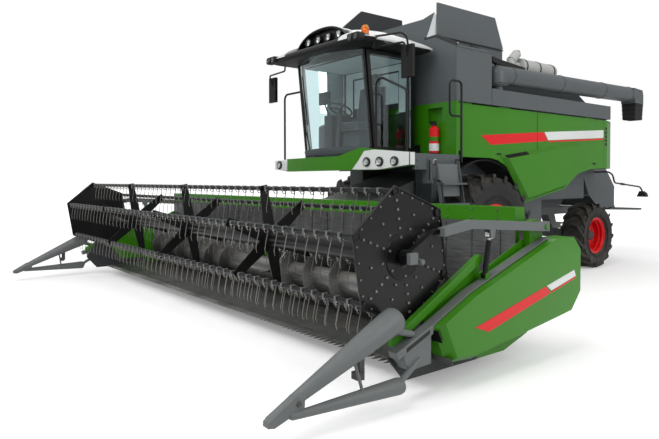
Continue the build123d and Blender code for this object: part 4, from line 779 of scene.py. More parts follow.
class Shape:
    """Mesh of one piece, collected from plain forms in metres."""

    def __init__(self, name: str) -> None:
        """Starts an empty mesh."""
        self.name = name
        self.mesh = bmesh.new()

    def faces(self, points: Iterable[Sequence[float]], rings: Iterable[Sequence[int]]) -> None:
        """Adds faces between points.

        Args:
            points: Corners.
            rings: Corner numbers of each face.
        """
        corners = [self.mesh.verts.new(point) for point in points]
        for ring in rings:
            self.mesh.faces.new([corners[index] for index in ring])

    def block(self, low: Point, high: Point) -> "Shape":
        """Adds a box between two corners.

        Args:
            low: Lowest corner.
            high: Highest corner.

        Returns:
            The shape itself.
        """
        (x0, y0, z0), (x1, y1, z1) = low, high
        outline = [(x0, y0), (x1, y0), (x1, y1), (x0, y1)]
        return self.plate(outline, Along.Z, z0, z1)

    def plate(self, outline: Sequence[Flat], along: Along, start: float, end: float) -> "Shape":
        """Adds an outline pulled along an axis.

        Args:
            outline: Corners in the plane across the axis, in the order of the axes.
            along: Axis of the pull.
            start: Where it begins.
            end: Where it ends.

        Returns:
            The shape itself.
        """
        def corner(pair: Flat, depth: float) -> Point:
            """Puts a depth into a pair, at the axis of the pull.

            Args:
                pair: Corner of the outline.
                depth: Place along the axis.

            Returns:
                The corner in space.
            """
            spot = [*pair]
            spot.insert(along.value, depth)
            return tuple(spot)

        count = len(outline)
        points = [corner(pair, start) for pair in outline] + [corner(pair, end) for pair in outline]
        rings = [list(range(count)), list(range(count, 2 * count))[::-1]]
        rings += [[i, i + count, (i + 1) % count + count, (i + 1) % count] for i in range(count)]
        self.faces(points, rings)
        return self

    def bar(
        self, start: Point, end: Point, radius: float, end_radius: float | None = None, sides: int = 14
    ) -> "Shape":
        """Adds a round bar, tapered where an end radius is given."""
        return self.loft_rings([(start, radius), (end, radius if end_radius is None else end_radius)], sides)

    def loft_rings(self, stations: Sequence[tuple[Point, float]], sides: int = 14) -> "Shape":
        """Adds a closed round body through stations along a path.

        Args:
            stations: Centre and radius of each ring.
            sides: Corners of a ring.

        Returns:
            The shape itself.
        """
        centres = [Vector(centre) for centre, _ in stations]
        side = None
        points: list[Vector] = []
        for index, (_, radius) in enumerate(stations):
            ahead = centres[min(index + 1, len(centres) - 1)]
            behind = centres[max(index - 1, 0)]
            run = (ahead - behind).normalized() if (ahead - behind).length > 1e-9 else Vector((0, 0, 1))
            if side is None:
                side = run.orthogonal().normalized()
            side = (side - run * side.dot(run)).normalized()
            up = run.cross(side)
            for step in range(sides):
                turn = 2 * pi * step / sides
                points.append(centres[index] + radius * (side * cos(turn) + up * sin(turn)))
        return self.stacked(points, sides)

    def stacked(self, points: Sequence[Sequence[float]], count: int) -> "Shape":
        """Adds a closed body through equal rings of points, with a cap at each end.

        Args:
            points: Points of all rings, ring after ring.
            count: Points of a ring.

        Returns:
            The shape itself.
        """
        rings = [list(range(count))[::-1], [len(points) - count + step for step in range(count)]]
        for index in range(len(points) // count - 1):
            for step in range(count):
                a = index * count + step
                b = index * count + (step + 1) % count
                rings.append([a, b, b + count, a + count])
        self.faces(points, rings)
        return self

    def pipe(
        self, path: Sequence[Point], radius: float, sides: int = 10, round_steps: int = 0, bend: float = 0.0
    ) -> "Shape":
        """Adds a tube along a path, its corners rounded where a bend is given.

        Args:
            path: Points of the centre line.
            radius: Radius of the tube.
            sides: Corners of a ring.
            round_steps: Steps of each rounded corner.
            bend: Radius of the rounded corners.

        Returns:
            The shape itself.
        """
        points = [Vector(point) for point in path]
        line = [points[0]]
        for before, here, after in zip(points, points[1:], points[2:]):
            if not bend:
                line.append(here)
                continue
            back = before - here
            ahead = after - here
            reach = min(bend, back.length * 0.48, ahead.length * 0.48)
            first = here + back.normalized() * reach
            last = here + ahead.normalized() * reach
            for step in range(round_steps + 1):
                share = step / round_steps
                line.append(first.lerp(here, share).lerp(here.lerp(last, share), share))
        line.append(points[-1])
        return self.loft_rings([(tuple(point), radius) for point in line], sides)

    def turned(
        self, profile: Sequence[Flat], centre: Point, along: Along = Along.X, sides: int = 32,
        flip: float = 1.0
    ) -> "Shape":
        """Adds a body turned about an axis.

        Args:
            profile: Offset along the axis and radius of each corner.
            centre: Point on the axis.
            along: The axis.
            sides: Steps round the axis.
            flip: 1 or -1, the sense of the offsets.

        Returns:
            The shape itself.
        """
        first = (along.value + 1) % 3
        second = (along.value + 2) % 3
        points: list[list[float]] = []
        for step in range(sides):
            turn = 2 * pi * step / sides
            for offset, radius in profile:
                spot = list(centre)
                spot[along.value] += offset * flip
                spot[first] += radius * cos(turn)
                spot[second] += radius * sin(turn)
                points.append(spot)
        count = len(profile)
        rings = []
        for step in range(sides):
            other = (step + 1) % sides
            for index in range(count):
                after = (index + 1) % count
                rings.append([
                    step * count + index, step * count + after, other * count + after, other * count + index
                ])
        self.faces(points, rings)
        return self

    def bolts(self, spots: Iterable[Point], along: Along, radius: float, height: float) -> "Shape":
        """Adds hexagon heads that stand along an axis.

        Args:
            spots: Foot of each head.
            along: Axis of the heads.
            radius: Radius over the corners.
            height: Height, negative for the other way.

        Returns:
            The shape itself.
        """
        for spot in spots:
            top = list(spot)
            top[along.value] += height
            self.bar(tuple(spot), tuple(top), radius, radius * 0.92, 6)
        return self

    def surface(self, rows: Sequence[Sequence[Point]]) -> "Shape":
        """Adds a skin between rows of points.

        Args:
            rows: Rows of equal length.

        Returns:
            The shape itself.
        """
        width = len(rows[0])
        points = [point for row in rows for point in row]
        rings = []
        for row in range(len(rows) - 1):
            for column in range(width - 1):
                a = row * width + column
                rings.append([a, a + 1, a + 1 + width, a + width])
        self.faces(points, rings)
        return self

    def mirrored(self) -> "Shape":
        """Adds the mirror image across the machine's middle.

        Returns:
            The shape itself.
        """
        copied = bmesh.ops.duplicate(
            self.mesh, geom=self.mesh.verts[:] + self.mesh.edges[:] + self.mesh.faces[:]
        )
        new_faces = [item for item in copied["geom"] if isinstance(item, bmesh.types.BMFace)]
        for item in copied["geom"]:
            if isinstance(item, bmesh.types.BMVert):
                item.co.x = -item.co.x
        bmesh.ops.reverse_faces(self.mesh, faces=new_faces)
        return self

    def put(
        self, body: str, paint: str, paints: Paints, crease: float = 32.0, bevel: float = 0.0,
        replaces: Sequence[str] = ()
    ) -> bpy.types.Object:
        """Makes the object, dresses it and lets it ride on its body.

        Args:
            body: CAD body that carries the piece.
            paint: Name in the table of finishes.
            paints: Materials.
            crease: Angle in degrees over which an edge stays sharp.
            bevel: Width of a rounded edge in metres.
            replaces: CAD nodes that the piece stands for.

        Returns:
            The object.
        """
        bmesh.ops.recalc_face_normals(self.mesh, faces=self.mesh.faces)
        limit = radians(crease)
        for face in self.mesh.faces:
            face.smooth = True
        for edge in self.mesh.edges:
            if len(edge.link_faces) == 2 and edge.calc_face_angle(0.0) > limit:
                edge.smooth = False
        data = bpy.data.meshes.new(self.name)
        self.mesh.to_mesh(data)
        self.mesh.free()
        piece = bpy.data.objects.new(self.name, data)
        bpy.context.scene.collection.objects.link(piece)
        data.materials.append(paints.get(paint))
        if bevel:
            rounding = piece.modifiers.new("edge_round", "BEVEL")
            rounding.width = bevel
            rounding.segments = 2
            rounding.limit_method = "ANGLE"
            rounding.angle_limit = limit
        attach(piece, body)
        if replaces:
            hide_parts(*replaces)
        LOG.info("%s: %d faces on %s", self.name, len(data.polygons), body)
        return piece


NODE_PAINT = {
    "green": (
        "bumper", "front_wall", "side_panel_left", "side_panel_right", "rear_cowl", "header_end_left",
        "header_end_right", "header_back"
    ),
    "grey": (
        "grain_tank", "tank_extension", "tank_lid_left", "unloading_tube", "straw_hood", "engine_deck",
        "threshing_body", "cab_platform", "ladder", "spreader_board",
    ),
    # The far tank lid takes the painted-shade grey, a darker copy of the near lid's grey standing for the
    # shade it lies in.
    "shade_grey": ("tank_lid_right",),
    "header_grey": (
        "reel_arms", "crop_dividers", "feederhouse", "tow_hitch", "chassis_frame", "front_axle", "rear_axle",
        "knuckle_left", "knuckle_right"
    ),
    "dark_plastic": ("cab_controls",),
    "black": (
        "cab_frame", "cab_door", "hand_rails", "mirrors", "reel_core", "reel_bars", "reel_carriages",
        "header_lift_barrels", "reel_lift_barrels"
    ),
    "knife": ("cutterbar",),
    "red": ("front_rim_left", "front_rim_right", "rear_rim_left", "rear_rim_right", "fire_extinguisher"),
    "roof_white": ("cab_roof",),
    "cleaner": ("air_cleaner",),
    "tyre": ("front_tyre_left", "front_tyre_right", "rear_tyre_left", "rear_tyre_right"),
    "spout": ("unloading_spout",),
    "glass": ("cab_glass", "door_glass"),
    "pan_steel": ("header_pan",),
    "steel": ("auger_core", "auger_flights"),
    "chrome": ("header_lift_rods", "reel_lift_rods"),
    "iron": ("engine_block",),
    "cloth": ("operator_seat",),
}


def dress_nodes(nodes: dict[str, bpy.types.Object], paints: Paints) -> None:
    """Gives every CAD node its finish.

    Args:
        nodes: CAD nodes by name.
        paints: Materials.
    """
    for key, names in NODE_PAINT.items():
        for name in names:
            if name in nodes:
                nodes[name].data.materials.clear()
                nodes[name].data.materials.append(paints.get(key))
    bare = sorted(set(nodes) - {name for names in NODE_PAINT.values() for name in names})
    for name in bare:
        nodes[name].data.materials.clear()
        nodes[name].data.materials.append(paints.get("grey"))
    LOG.info("dressed %d nodes, %d by default: %s", len(nodes), len(bare), bare)


@dataclass
class FarmTyre:
    """A driven farm tyre with curved bars on its tread and ribs on its walls."""

    side: str
    axle: str
    centre: Point
    radius: float
    width: float
    rim_radius: float
    bars: int
    bar_height: float
    bar_width: float
    paints: Paints

    def _half_profile(self) -> list[Flat]:
        """Outer half of the carcass from bead to crown, as offset and radius.

        Returns:
            Corners of the profile.
        """
        w = self.width
        r = self.radius - self.bar_height
        mid = (self.rim_radius + r) / 2
        return [
            (0.335 * w, self.rim_radius + 0.004), (0.37 * w, self.rim_radius + 0.006),
            (0.385 * w, self.rim_radius + 0.03), (0.4 * w, self.rim_radius + 0.036), (0.445 * w, mid - 0.06),
            (0.475 * w, mid), (0.49 * w, mid + 0.04), (0.485 * w, mid + 0.09), (0.462 * w, r - 0.075),
            (0.43 * w, r - 0.036), (0.34 * w, r - 0.014), (0.17 * w, r - 0.003)
        ]

    def build(self) -> None:
        """Makes carcass, wall ribs and tread bars as one piece."""
        sign = 1.0 if self.side == "left" else -1.0
        tyre = Shape(f"{self.axle}_{self.side}_tyre_with_bars")
        half = self._half_profile()
        outer = [(-offset, radius) for offset, radius in half] + half[::-1]
        lining = [(0.34 * self.width, self.rim_radius + 0.002), (-0.34 * self.width, self.rim_radius + 0.002)]
        tyre.turned(outer + lining, self.centre, Along.X, 96)
        for side in (1, -1):
            for offset, rise in ((0.452, 0.4), (0.47, 0.3)):
                radius = self.rim_radius + 0.02 + rise * (self.radius - self.rim_radius) * 0.5
                rib = [
                    (offset * self.width, radius - 0.006), (offset * self.width + 0.012, radius - 0.003),
                    (offset * self.width + 0.012, radius + 0.003), (offset * self.width, radius + 0.006)
                ]
                tyre.turned([(x * side, r) for x, r in rib], self.centre, Along.X, 72)
        for index in range(self.bars):
            for side, stagger in ((1, 0.0), (-1, 0.5)):
                self._bar(tyre, 2 * pi * (index + stagger) / self.bars * sign, side, sign)
        body = f"{self.axle}_wheel_{self.side}"
        tyre.put(body, "tyre", self.paints, 38.0, 0.004, (f"{self.axle}_tyre_{self.side}",))

    def _bar(self, tyre: Shape, turn: float, side: int, sign: float) -> None:
        """Adds one curved tread bar.

        Args:
            tyre: Shape that takes the bar.
            turn: Angle of its inner end.
            side: 1 or -1, the half of the tread.
            sign: Sense in which the bars sweep back.
        """
        w = self.width
        base = self.radius - self.bar_height
        stations = ((-0.03, 0.0), (0.1, 0.01), (0.24, 0.045), (0.36, 0.105), (0.455, 0.165), (0.492, 0.185))
        cx, cy, cz = self.centre
        rows = []
        for reach, sweep in stations:
            angle = turn + sign * sweep * w / base * 2.4
            drop = 0.0 if reach < 0.33 else (reach - 0.33) ** 2 * 1.6 * w
            foot = base - 0.012 - (drop * 1.6 if reach < 0.47 else drop * 2.6)
            top = self.radius - drop * 1.15
            thick = self.bar_width * (0.5 + 0.15 * reach)
            corners = []
            for radius, half in ((foot, thick * 1.25), (top - 0.008, thick), (top, thick * 0.78)):
                corners.append((radius, half))
            ring = corners + [(radius, -half) for radius, half in corners[::-1]]
            row = []
            for radius, half in ring:
                spin = angle + half / radius
                row.append((cx + side * reach * w, cy + radius * cos(spin), cz + radius * sin(spin)))
            rows.append(row)
        count = len(rows[0])
        points = [point for row in rows for point in row]
        rings = [list(range(count)), [len(points) - count + i for i in range(count)][::-1]]
        for row in range(len(rows) - 1):
            for i in range(count):
                a = row * count + i
                b = row * count + (i + 1) % count
                rings.append([a, b, b + count, a + count])
        tyre.faces(points, rings)


@dataclass
class WheelHub:
    """Hub cap, nuts, rim steps and valve of one wheel."""

    side: str
    axle: str
    centre: Point
    rim_radius: float
    width: float
    bolts: int
    paints: Paints

    def build(self) -> None:
        """Makes the hub cap, the nuts, and the rim's steps with the valve."""
        sign = 1.0 if self.side == "left" else -1.0
        body = f"{self.axle}_wheel_{self.side}"
        x, y, z = self.centre
        face = x + sign * 0.03
        cap = Shape(f"{self.axle}_{self.side}_hub_cap")
        r = self.rim_radius * 0.3
        cap.turned([
            (0.0, 0.01), (0.0, r), (0.035, r * 0.98), (0.06, r * 0.78), (0.068, r * 0.4), (0.068, 0.01)
        ], (face, y, z), Along.X, 40, sign)
        cap.put(body, "iron", self.paints, 30.0)
        nuts = Shape(f"{self.axle}_{self.side}_wheel_nuts")
        ring = self.rim_radius * 0.47
        turns = [2 * pi * index / self.bolts for index in range(self.bolts)]
        spots = [(face - sign * 0.012, y + ring * cos(turn), z + ring * sin(turn)) for turn in turns]
        nuts.bolts(spots, Along.X, 0.019, sign * 0.032)
        nuts.bolts([(spot[0] + sign * 0.03, spot[1], spot[2]) for spot in spots], Along.X, 0.01, sign * 0.014)
        nuts.put(body, "header_grey", self.paints)
        lip = Shape(f"{self.axle}_{self.side}_rim_steps")
        seat = 0.36 * self.width
        inner = self.rim_radius - 0.016
        for a, b, c, d, depth in (
            (seat - 0.05, seat - 0.03, seat - 0.012, seat + 0.006, 0.014),
            (seat * 0.35, seat * 0.42, seat * 0.52, seat * 0.6, 0.022)
        ):
            step = [(a, inner), (b, inner - depth), (c, inner - depth), (d, inner)]
            lip.turned(step, self.centre, Along.X, 72, sign)
        lip.bar(
            (x + sign * (seat - 0.02), y + inner * 0.93, z + 0.02),
            (x + sign * (seat + 0.03), y + inner * 0.9, z + 0.02), 0.006, 0.005, 8
        )
        lip.put(body, "red", self.paints)


def lay_stripes(prefix: str, body: str, x: float, sign: float, stripes: Stripes, paints: Paints) -> None:
    """Lays blank stripes on a side.

    Args:
        prefix: Start of the pieces' names.
        body: CAD body that carries them.
        x: Face that they lie on.
        sign: 1 or -1, the machine's side.
        stripes: Name, finish and outline of each.
        paints: Materials.
    """
    for name, paint, outline in stripes:
        stripe = Shape(f"{prefix}_{name}")
        stripe.plate(outline, Along.X, x - sign * 0.001, x + sign * STRIPE_LIFT)
        stripe.put(body, paint, paints)


@dataclass
class SideLivery:
    """Blank stripes, seams and latches of the two side panels."""

    paints: Paints
    face_x: float = PANEL_FACE_X
    red: tuple[Flat, ...] = ((-0.16, 2.39), (1.58, 2.52), (1.7, 2.372), (0.09, 2.25))
    white: tuple[Flat, ...] = ((1.6, 2.522), (3.655, 2.655), (3.655, 2.505), (1.715, 2.385))
    line: tuple[Flat, ...] = ((1.712, 2.378), (3.655, 2.497), (3.655, 2.47), (1.735, 2.352))

    def build(self) -> None:
        """Dresses both panels."""
        for side, sign in (("left", 1.0), ("right", -1.0)):
            body = f"panel_{side}"
            x = sign * self.face_x
            lay_stripes(
                side, body, x, sign,
                (
                    ("red_stripe", "red", self.red), ("white_stripe", "white", self.white),
                    ("thin_stripe", "red", self.line)
                ),
                self.paints
            )
            seam = Shape(f"{side}_panel_seam")
            seam.plate([
                (1.377, 1.42), (1.377, 2.84), (1.384, 2.84), (1.384, 1.42)
            ], Along.X, x - sign * 0.001, x + sign * 0.0032)
            seam.put(body, "black", self.paints)
            latches = Shape(f"{side}_panel_latches")
            for y, z in ((1.3, 1.48), (1.46, 1.5), (0.3, 2.1), (3.3, 1.99)):
                latches.plate([
                    (y - 0.05, z), (y + 0.05, z), (y + 0.05, z + 0.028), (y - 0.05, z + 0.028)
                ], Along.X, x, x + sign * 0.012)
            latches.put(body, "dark_plastic", self.paints, bevel=0.003)


@dataclass
class CabTop:
    """Roof shell, black visor with lamps, dark skirt, corner lamps, beacon and the mirrors' trims."""

    paints: Paints
    half_width: float = 1.15
    edge: float = 3.668
    floor: float = 3.603
    visor_half: float = 0.65
    visor_y: float = -2.06
    middle_y: float = -1.615
    arch_foot: float = 3.7
    arch_rise: float = 0.315
    lamp_height: float = 3.866
    crown: tuple[Flat, ...] = (
        (-2.345, 3.668), (-2.325, 3.735), (-2.27, 3.795), (-2.16, 3.865), (-2.06, 3.915), (-1.96, 3.95),
        (-1.75, 4.005), (-1.5, 4.03), (-1.2, 4.0), (-1.0, 3.95), (-0.885, 3.905)
    )
    outline: tuple[Flat, ...] = (
        (-1.08, -2.345), (-0.65, -2.347), (0.65, -2.347), (1.08, -2.345), (1.135, -2.29), (1.15, -2.16),
        (1.15, -1.0), (1.125, -0.885), (-1.125, -0.885), (-1.15, -1.0), (-1.15, -2.16), (-1.135, -2.29)
    )

    def build(self) -> None:
        """Makes every piece of the roof."""
        self._shell()
        self._skirt()
        self._mirror_arms()
        self._side_lamps()
        self._visor()
        self._corner_lamps()
        self._beacon()

    def _half(self, y: float) -> float:
        """Half width of the roof at y, narrower at its front and rear corners.

        Args:
            y: Place along the roof.

        Returns:
            The half width there.
        """
        if y < -2.16:
            return self.half_width - 0.07 * ((-2.16 - y) / 0.185) ** 2
        if y > -1.0:
            return self.half_width - 0.025 * (y + 1.0) / 0.115
        return self.half_width

    def _top(self, x: float, y: float, crown: float) -> float:
        """Height of the shell at x and y under a crown height."""
        share = min(1.0, abs(x) / self._half(y))
        return self.edge + (crown - self.edge) * max(0.0, 1 - share ** 1.9) ** 0.85

    def _arch(self, x: float) -> float:
        """Height of the visor's arch at x."""
        share = min(1.0, abs(x) / self.visor_half)
        return self.arch_foot + self.arch_rise * max(0.0, 1 - share ** 2.3) ** 0.62

    def _shell(self) -> None:
        """Pale shell, open in front where the visor sits."""
        shell = Shape("roof_shell")
        rear = [(y, crown) for y, crown in self.crown if y >= self.visor_y]
        front = [(y, crown) for y, crown in self.crown if y <= self.visor_y]
        rows = []
        for y, crown in rear:
            half = self._half(y)
            spots = [half * (column / 18 - 1) for column in range(37)]
            rows.append([(x, y, self._top(x, y, crown)) for x in spots])
        shell.surface(rows)
        shell.surface([rows[-1], [(x, y + 0.004, self.edge - 0.01) for x, y, _ in rows[-1]]])
        for sign in (1.0, -1.0):
            side = [(sign * self._half(y), y) for y, _ in rear]
            shell.surface([
                [(x, y, self.edge) for x, y in side], [(x * 0.995, y, self.edge - 0.022) for x, y in side],
                [(x * 0.975, y, self.edge - 0.026) for x, y in side]
            ])
        for sign in (1.0, -1.0):
            wing = []
            for y, crown in front:
                half = self._half(y)
                row = []
                for column in range(13):
                    x = self.visor_half + (half - self.visor_half) * column / 12
                    row.append((sign * x, y, self._top(x, y, crown)))
                wing.append(row)
            shell.surface(wing)
            inner = [row[0] for row in wing]
            shell.surface([inner, [(x, y, z - 0.16 * (z - self.edge) / 0.24 - 0.004) for x, y, z in inner]])
        bmesh.ops.remove_doubles(shell.mesh, verts=shell.mesh.verts, dist=0.0005)
        shell.put("machine", "roof_white", self.paints, 40.0, replaces=("cab_roof",))

    def _skirt(self) -> None:
        """Dark skirt and underside below the pale shell."""
        skirt = Shape("roof_skirt")
        levels = ((self.floor, 0.925), (self.floor + 0.02, 0.972), (self.edge - 0.012, 0.992))
        points = []
        for z, scale in levels:
            for x, y in self.outline:
                points.append((x * scale, self.middle_y + (y - self.middle_y) * scale, z))
        skirt.stacked(points, len(self.outline))
        skirt.put("machine", "dark_plastic", self.paints, 40.0)

    def _mirror_arms(self) -> None:
        """Upper arm of the near mirror and the ribs on both mirrors' backs."""
        arm = Shape("mirror_upper_arm")
        arm.pipe([
            (1.06, -2.06, 3.69), (1.35, -2.05, 3.665), (1.585, -2.02, 3.655), (1.612, -1.96, 3.6),
            (1.605, -1.93, 3.49)
        ], 0.014, 10, 5, 0.05)
        arm.pipe([(1.08, -2.055, 3.545), (1.09, -2.06, 3.69)], 0.012, 8)
        arm.put("machine", "black", self.paints)
        ribs = Shape("mirror_ribs")
        for index in range(11):
            z = 3.105 + 0.036 * index
            ribs.block((1.515, -1.9545, z), (1.685, -1.9495, z + 0.014))
        ribs.mirrored()
        ribs.put("machine", "dark_plastic", self.paints)

    def _side_lamps(self) -> None:
        """Small clear lamps in the skirt's sides."""
        markers = Shape("roof_side_lamps")
        for sign in (1.0, -1.0):
            markers.plate([
                (-1.9, 3.615), (-1.83, 3.615), (-1.83, 3.65), (-1.9, 3.65)
            ], Along.X, sign * 1.146, sign * 1.156)
        markers.put("machine", "lens", self.paints, bevel=0.003)

    def _visor(self) -> None:
        """Black eyebrow arch, the apron in front of it and four round lamps."""
        steps = 36
        spots = [self.visor_half * (2 * step / steps - 1) for step in range(steps + 1)]
        brow = Shape("roof_visor_brow")
        rows = []
        for y, grow in (
            (-2.07, -0.03), (-2.125, -0.026), (-2.13, -0.01), (-2.12, 0.004), (-1.9, 0.004), (-1.74, -0.01)
        ):
            rows.append([(x * (1 + grow * 0.5), y, max(3.69, self._arch(x) + grow)) for x in spots])
        brow.surface(rows)
        brow.put("machine", "visor_black", self.paints, 50.0)
        apron = Shape("roof_visor_apron")
        steps_down = [
            (-2.352, 3.64), (-2.35, 3.672), (-2.325, 3.705), (-2.24, 3.738), (-2.12, 3.765), (-2.056, 3.785)
        ]
        rows = [[(x, y, z) for x in spots] for y, z in steps_down]
        rows.append([(x, -2.05, max(3.785, self._arch(x) - 0.01)) for x in spots])
        apron.surface(rows)
        apron.put("machine", "visor_black", self.paints, 40.0)
        rims = Shape("visor_lamp_rims")
        bowls = Shape("visor_lamp_bowls")
        lenses = Shape("visor_lamp_lenses")
        for share in (-0.57, -0.19, 0.19, 0.57):
            spot = (share * 0.64, -2.085, self.lamp_height)
            rims.turned([
                (-0.012, 0.054), (-0.016, 0.06), (-0.012, 0.066), (0.04, 0.066), (0.04, 0.054)
            ], spot, Along.Y, 32)
            bowls.turned([
                (-0.002, 0.054), (0.018, 0.044), (0.028, 0.02), (0.01, 0.014), (0.01, 0.002), (0.034, 0.002),
                (0.034, 0.054)
            ], spot, Along.Y, 28)
            lenses.turned([
                (-0.012, 0.001), (-0.009, 0.04), (-0.004, 0.053), (-0.001, 0.053), (-0.002, 0.001)
            ], spot, Along.Y, 28)
        rims.put("machine", "dark_plastic", self.paints)
        bowls.put("machine", "reflector", self.paints)
        lenses.put("machine", "lens", self.paints)

    def _corner_lamps(self) -> None:
        """Round lamps in dark housings on both front corners."""
        housing = Shape("corner_lamp_housings")
        rims = Shape("corner_lamp_bowls")
        lenses = Shape("corner_lamp_lenses")
        for sign in (1.0, -1.0):
            outline = [
                (0.885, 3.616), (1.12, 3.608), (1.14, 3.632), (1.136, 3.69), (1.108, 3.714), (0.9, 3.714),
                (0.88, 3.695)
            ]
            housing.plate([(x * sign, z) for x, z in outline], Along.Y, -2.372, -2.27)
            for x in (1.065, 0.945):
                centre = (x * sign, -2.376, 3.66)
                rims.turned([
                    (-0.004, 0.042), (0.018, 0.033), (0.026, 0.016), (0.01, 0.011), (0.01, 0.002),
                    (0.032, 0.002), (0.032, 0.042)
                ], centre, Along.Y, 28)
                housing.turned([
                    (-0.009, 0.041), (-0.009, 0.048), (0.01, 0.048), (0.01, 0.041)
                ], centre, Along.Y, 28)
                lenses.turned([
                    (-0.01, 0.001), (-0.008, 0.031), (-0.004, 0.041), (-0.001, 0.041), (-0.001, 0.001)
                ], centre, Along.Y, 24)
        housing.put("machine", "dark_plastic", self.paints, bevel=0.004)
        rims.put("machine", "reflector", self.paints)
        lenses.put("machine", "lens", self.paints)

    def _beacon(self) -> None:
        """Amber beacon on its foot, with ribs in the lens."""
        centre = (1.02, -2.16, 3.7)
        foot = Shape("beacon_foot")
        foot.turned([
            (-0.07, 0.01), (-0.07, 0.052), (-0.03, 0.05), (0.0, 0.058), (0.016, 0.058), (0.016, 0.01)
        ], centre, Along.Z, 32)
        foot.put("machine", "header_grey", self.paints)
        lens = Shape("beacon_lens")
        profile = [(0.016, 0.052), (0.03, 0.054), (0.1, 0.051), (0.128, 0.044), (0.144, 0.028), (0.15, 0.002)]
        lens.turned(profile + [(0.016, 0.002)], centre, Along.Z, 32)
        for index in range(5):
            z = 0.034 + 0.016 * index
            lens.turned([(z, 0.0525), (z + 0.004, 0.0565), (z + 0.008, 0.0525)], centre, Along.Z, 32)
        lens.put("machine", "amber", self.paints, 50.0)


@dataclass
class CabFront:
    """Window seals, sill, pillar covers and wiper, the cab's lining and the padded seat."""

    paints: Paints

    def build(self) -> None:
        """Makes the front trims, the lining and the seat pads."""
        self._frame()
        self._inside()
        self._seat()

    def _frame(self) -> None:
        """Window seals, sill, pillar covers and the wiper."""
        seals = Shape("windshield_seals")
        for sign in (1.0, -1.0):
            x = sign * 0.785
            seals.pipe([(x, -1.812, 2.13), (x, -1.972, 3.59)], 0.016, 8)
        bow = [(-0.78 + 0.078 * i, -1.81 - 0.2 * (1 - (i / 10 - 1) ** 2), 2.135) for i in range(21)]
        seals.pipe(bow, 0.018, 8)
        seals.put("machine", "dark_plastic", self.paints)
        sill = Shape("windshield_sill")
        rows = []
        for z, push in ((2.1, 0.0), (2.16, 0.012), (2.2, 0.0)):
            rows.append([(x, y - 0.028 - push - 0.108 * (z - 2.135), z) for x, y, _ in bow])
        sill.surface(rows)
        sill.put("machine", "cab_grey", self.paints, 60.0)
        cover = Shape("pillar_covers")
        for sign in (1.0, -1.0):
            x = sign * 0.752
            cover.surface([
                [(x, -1.795, 2.15), (x, -1.945, 3.54)],
                [(x - sign * 0.035, -1.77, 2.15), (x - sign * 0.035, -1.92, 3.54)],
                [(x - sign * 0.03, -1.735, 2.15), (x - sign * 0.03, -1.885, 3.54)]
            ])
        cover.put("machine", "cab_pale", self.paints, 60.0)
        wiper = Shape("wiper")
        wiper.pipe([(-0.5, -1.955, 2.19), (-0.585, -1.985, 2.55), (-0.64, -2.0, 2.95)], 0.01, 8, 4, 0.1)
        wiper.pipe([(-0.625, -1.955, 2.6), (-0.665, -2.02, 3.38)], 0.012, 6)
        wiper.put("machine", "black", self.paints)

    def _inside(self) -> None:
        """Ceiling and rear lining, window blind, floor mat and side shelf."""
        ceiling = Shape("cab_ceiling")
        ceiling.block((-0.7, -1.86, 3.525), (0.7, -1.02, 3.536))
        for low, high in (
            ((-0.725, -1.004, 2.76), (-0.54, -0.998, 3.52)), ((0.54, -1.004, 2.76), (0.725, -0.998, 3.52)),
            ((-0.54, -1.004, 3.42), (0.54, -0.998, 3.52))
        ):
            ceiling.block(low, high)
        ceiling.put("machine", "cab_pale", self.paints, bevel=0.004)
        shade = Shape("rear_window_blind")
        rows = [
            [(-0.515 + 0.103 * i, -0.99 + (0.004 if row % 2 else 0.0), 3.395 - 0.03 * row) for i in range(11)]
            for row in range(17)
        ]
        shade.surface(rows)
        shade.put("machine", "cab_pale", self.paints, 20.0)
        mat = Shape("cab_floor_mat")
        mat.block((-0.7, -1.85, 2.1225), (0.7, -1.02, 2.132))
        for index in range(14):
            y = -1.82 + index * 0.055
            mat.block((-0.28, y, 2.132), (0.28, y + 0.02, 2.136))
        mat.put("machine", "dark_plastic", self.paints)
        shelf = Shape("cab_side_shelf")
        shelf.plate([
            (-1.6, 2.14), (-1.04, 2.14), (-1.04, 2.72), (-1.2, 2.76), (-1.6, 2.6)
        ], Along.X, -0.735, -0.56)
        shelf.put("machine", "cab_grey", self.paints, bevel=0.02)

    def _seat(self) -> None:
        """Foam cushion, back and headrest over the plain solid."""
        cushion = self._pad("seat_cushion", (-0.26, -1.62, 2.5), (0.26, -1.1, 2.63), 0.035)
        back = self._pad("seat_back", (-0.25, -1.12, 2.62), (0.25, -0.99, 3.22), 0.03)
        rest = self._pad("seat_headrest", (-0.14, -1.09, 3.24), (0.14, -1.0, 3.42), 0.025)

    def _pad(self, name: str, low: Point, high: Point, crown: float) -> bpy.types.Object:
        """One stuffed pad with a crown.

        Args:
            name: Name of the piece.
            low: Lowest corner.
            high: Highest corner.
            crown: How far its middle stands out.

        Returns:
            The object.
        """
        pad = Shape(name)
        bmesh.ops.create_cube(pad.mesh, size=1.0)
        bmesh.ops.subdivide_edges(pad.mesh, edges=pad.mesh.edges[:], cuts=9, use_grid_fill=True)
        middle = (Vector(low) + Vector(high)) / 2
        size = Vector(high) - Vector(low)
        for vert in pad.mesh.verts:
            u, v, w = vert.co
            swell = (1 - (2 * u) ** 4) * (1 - (2 * v) ** 4) * (1 - (2 * w) ** 4)
            near_x, near_y, near_z = (abs(2 * part) ** 6 for part in (u, v, w))
            pull = 1 - 0.1 * (near_x * near_y + near_y * near_z + near_x * near_z)
            spot = Vector((u * size.x, v * size.y, w * size.z)) * pull
            normal = Vector((u, v, w)).normalized()
            vert.co = middle + spot + normal * crown * 0.4 * swell
        piece = pad.put("machine", "cloth", self.paints, 80.0)
        smooth = piece.modifiers.new("foam", "SUBSURF")
        smooth.levels = 1
        smooth.render_levels = 1
        return piece


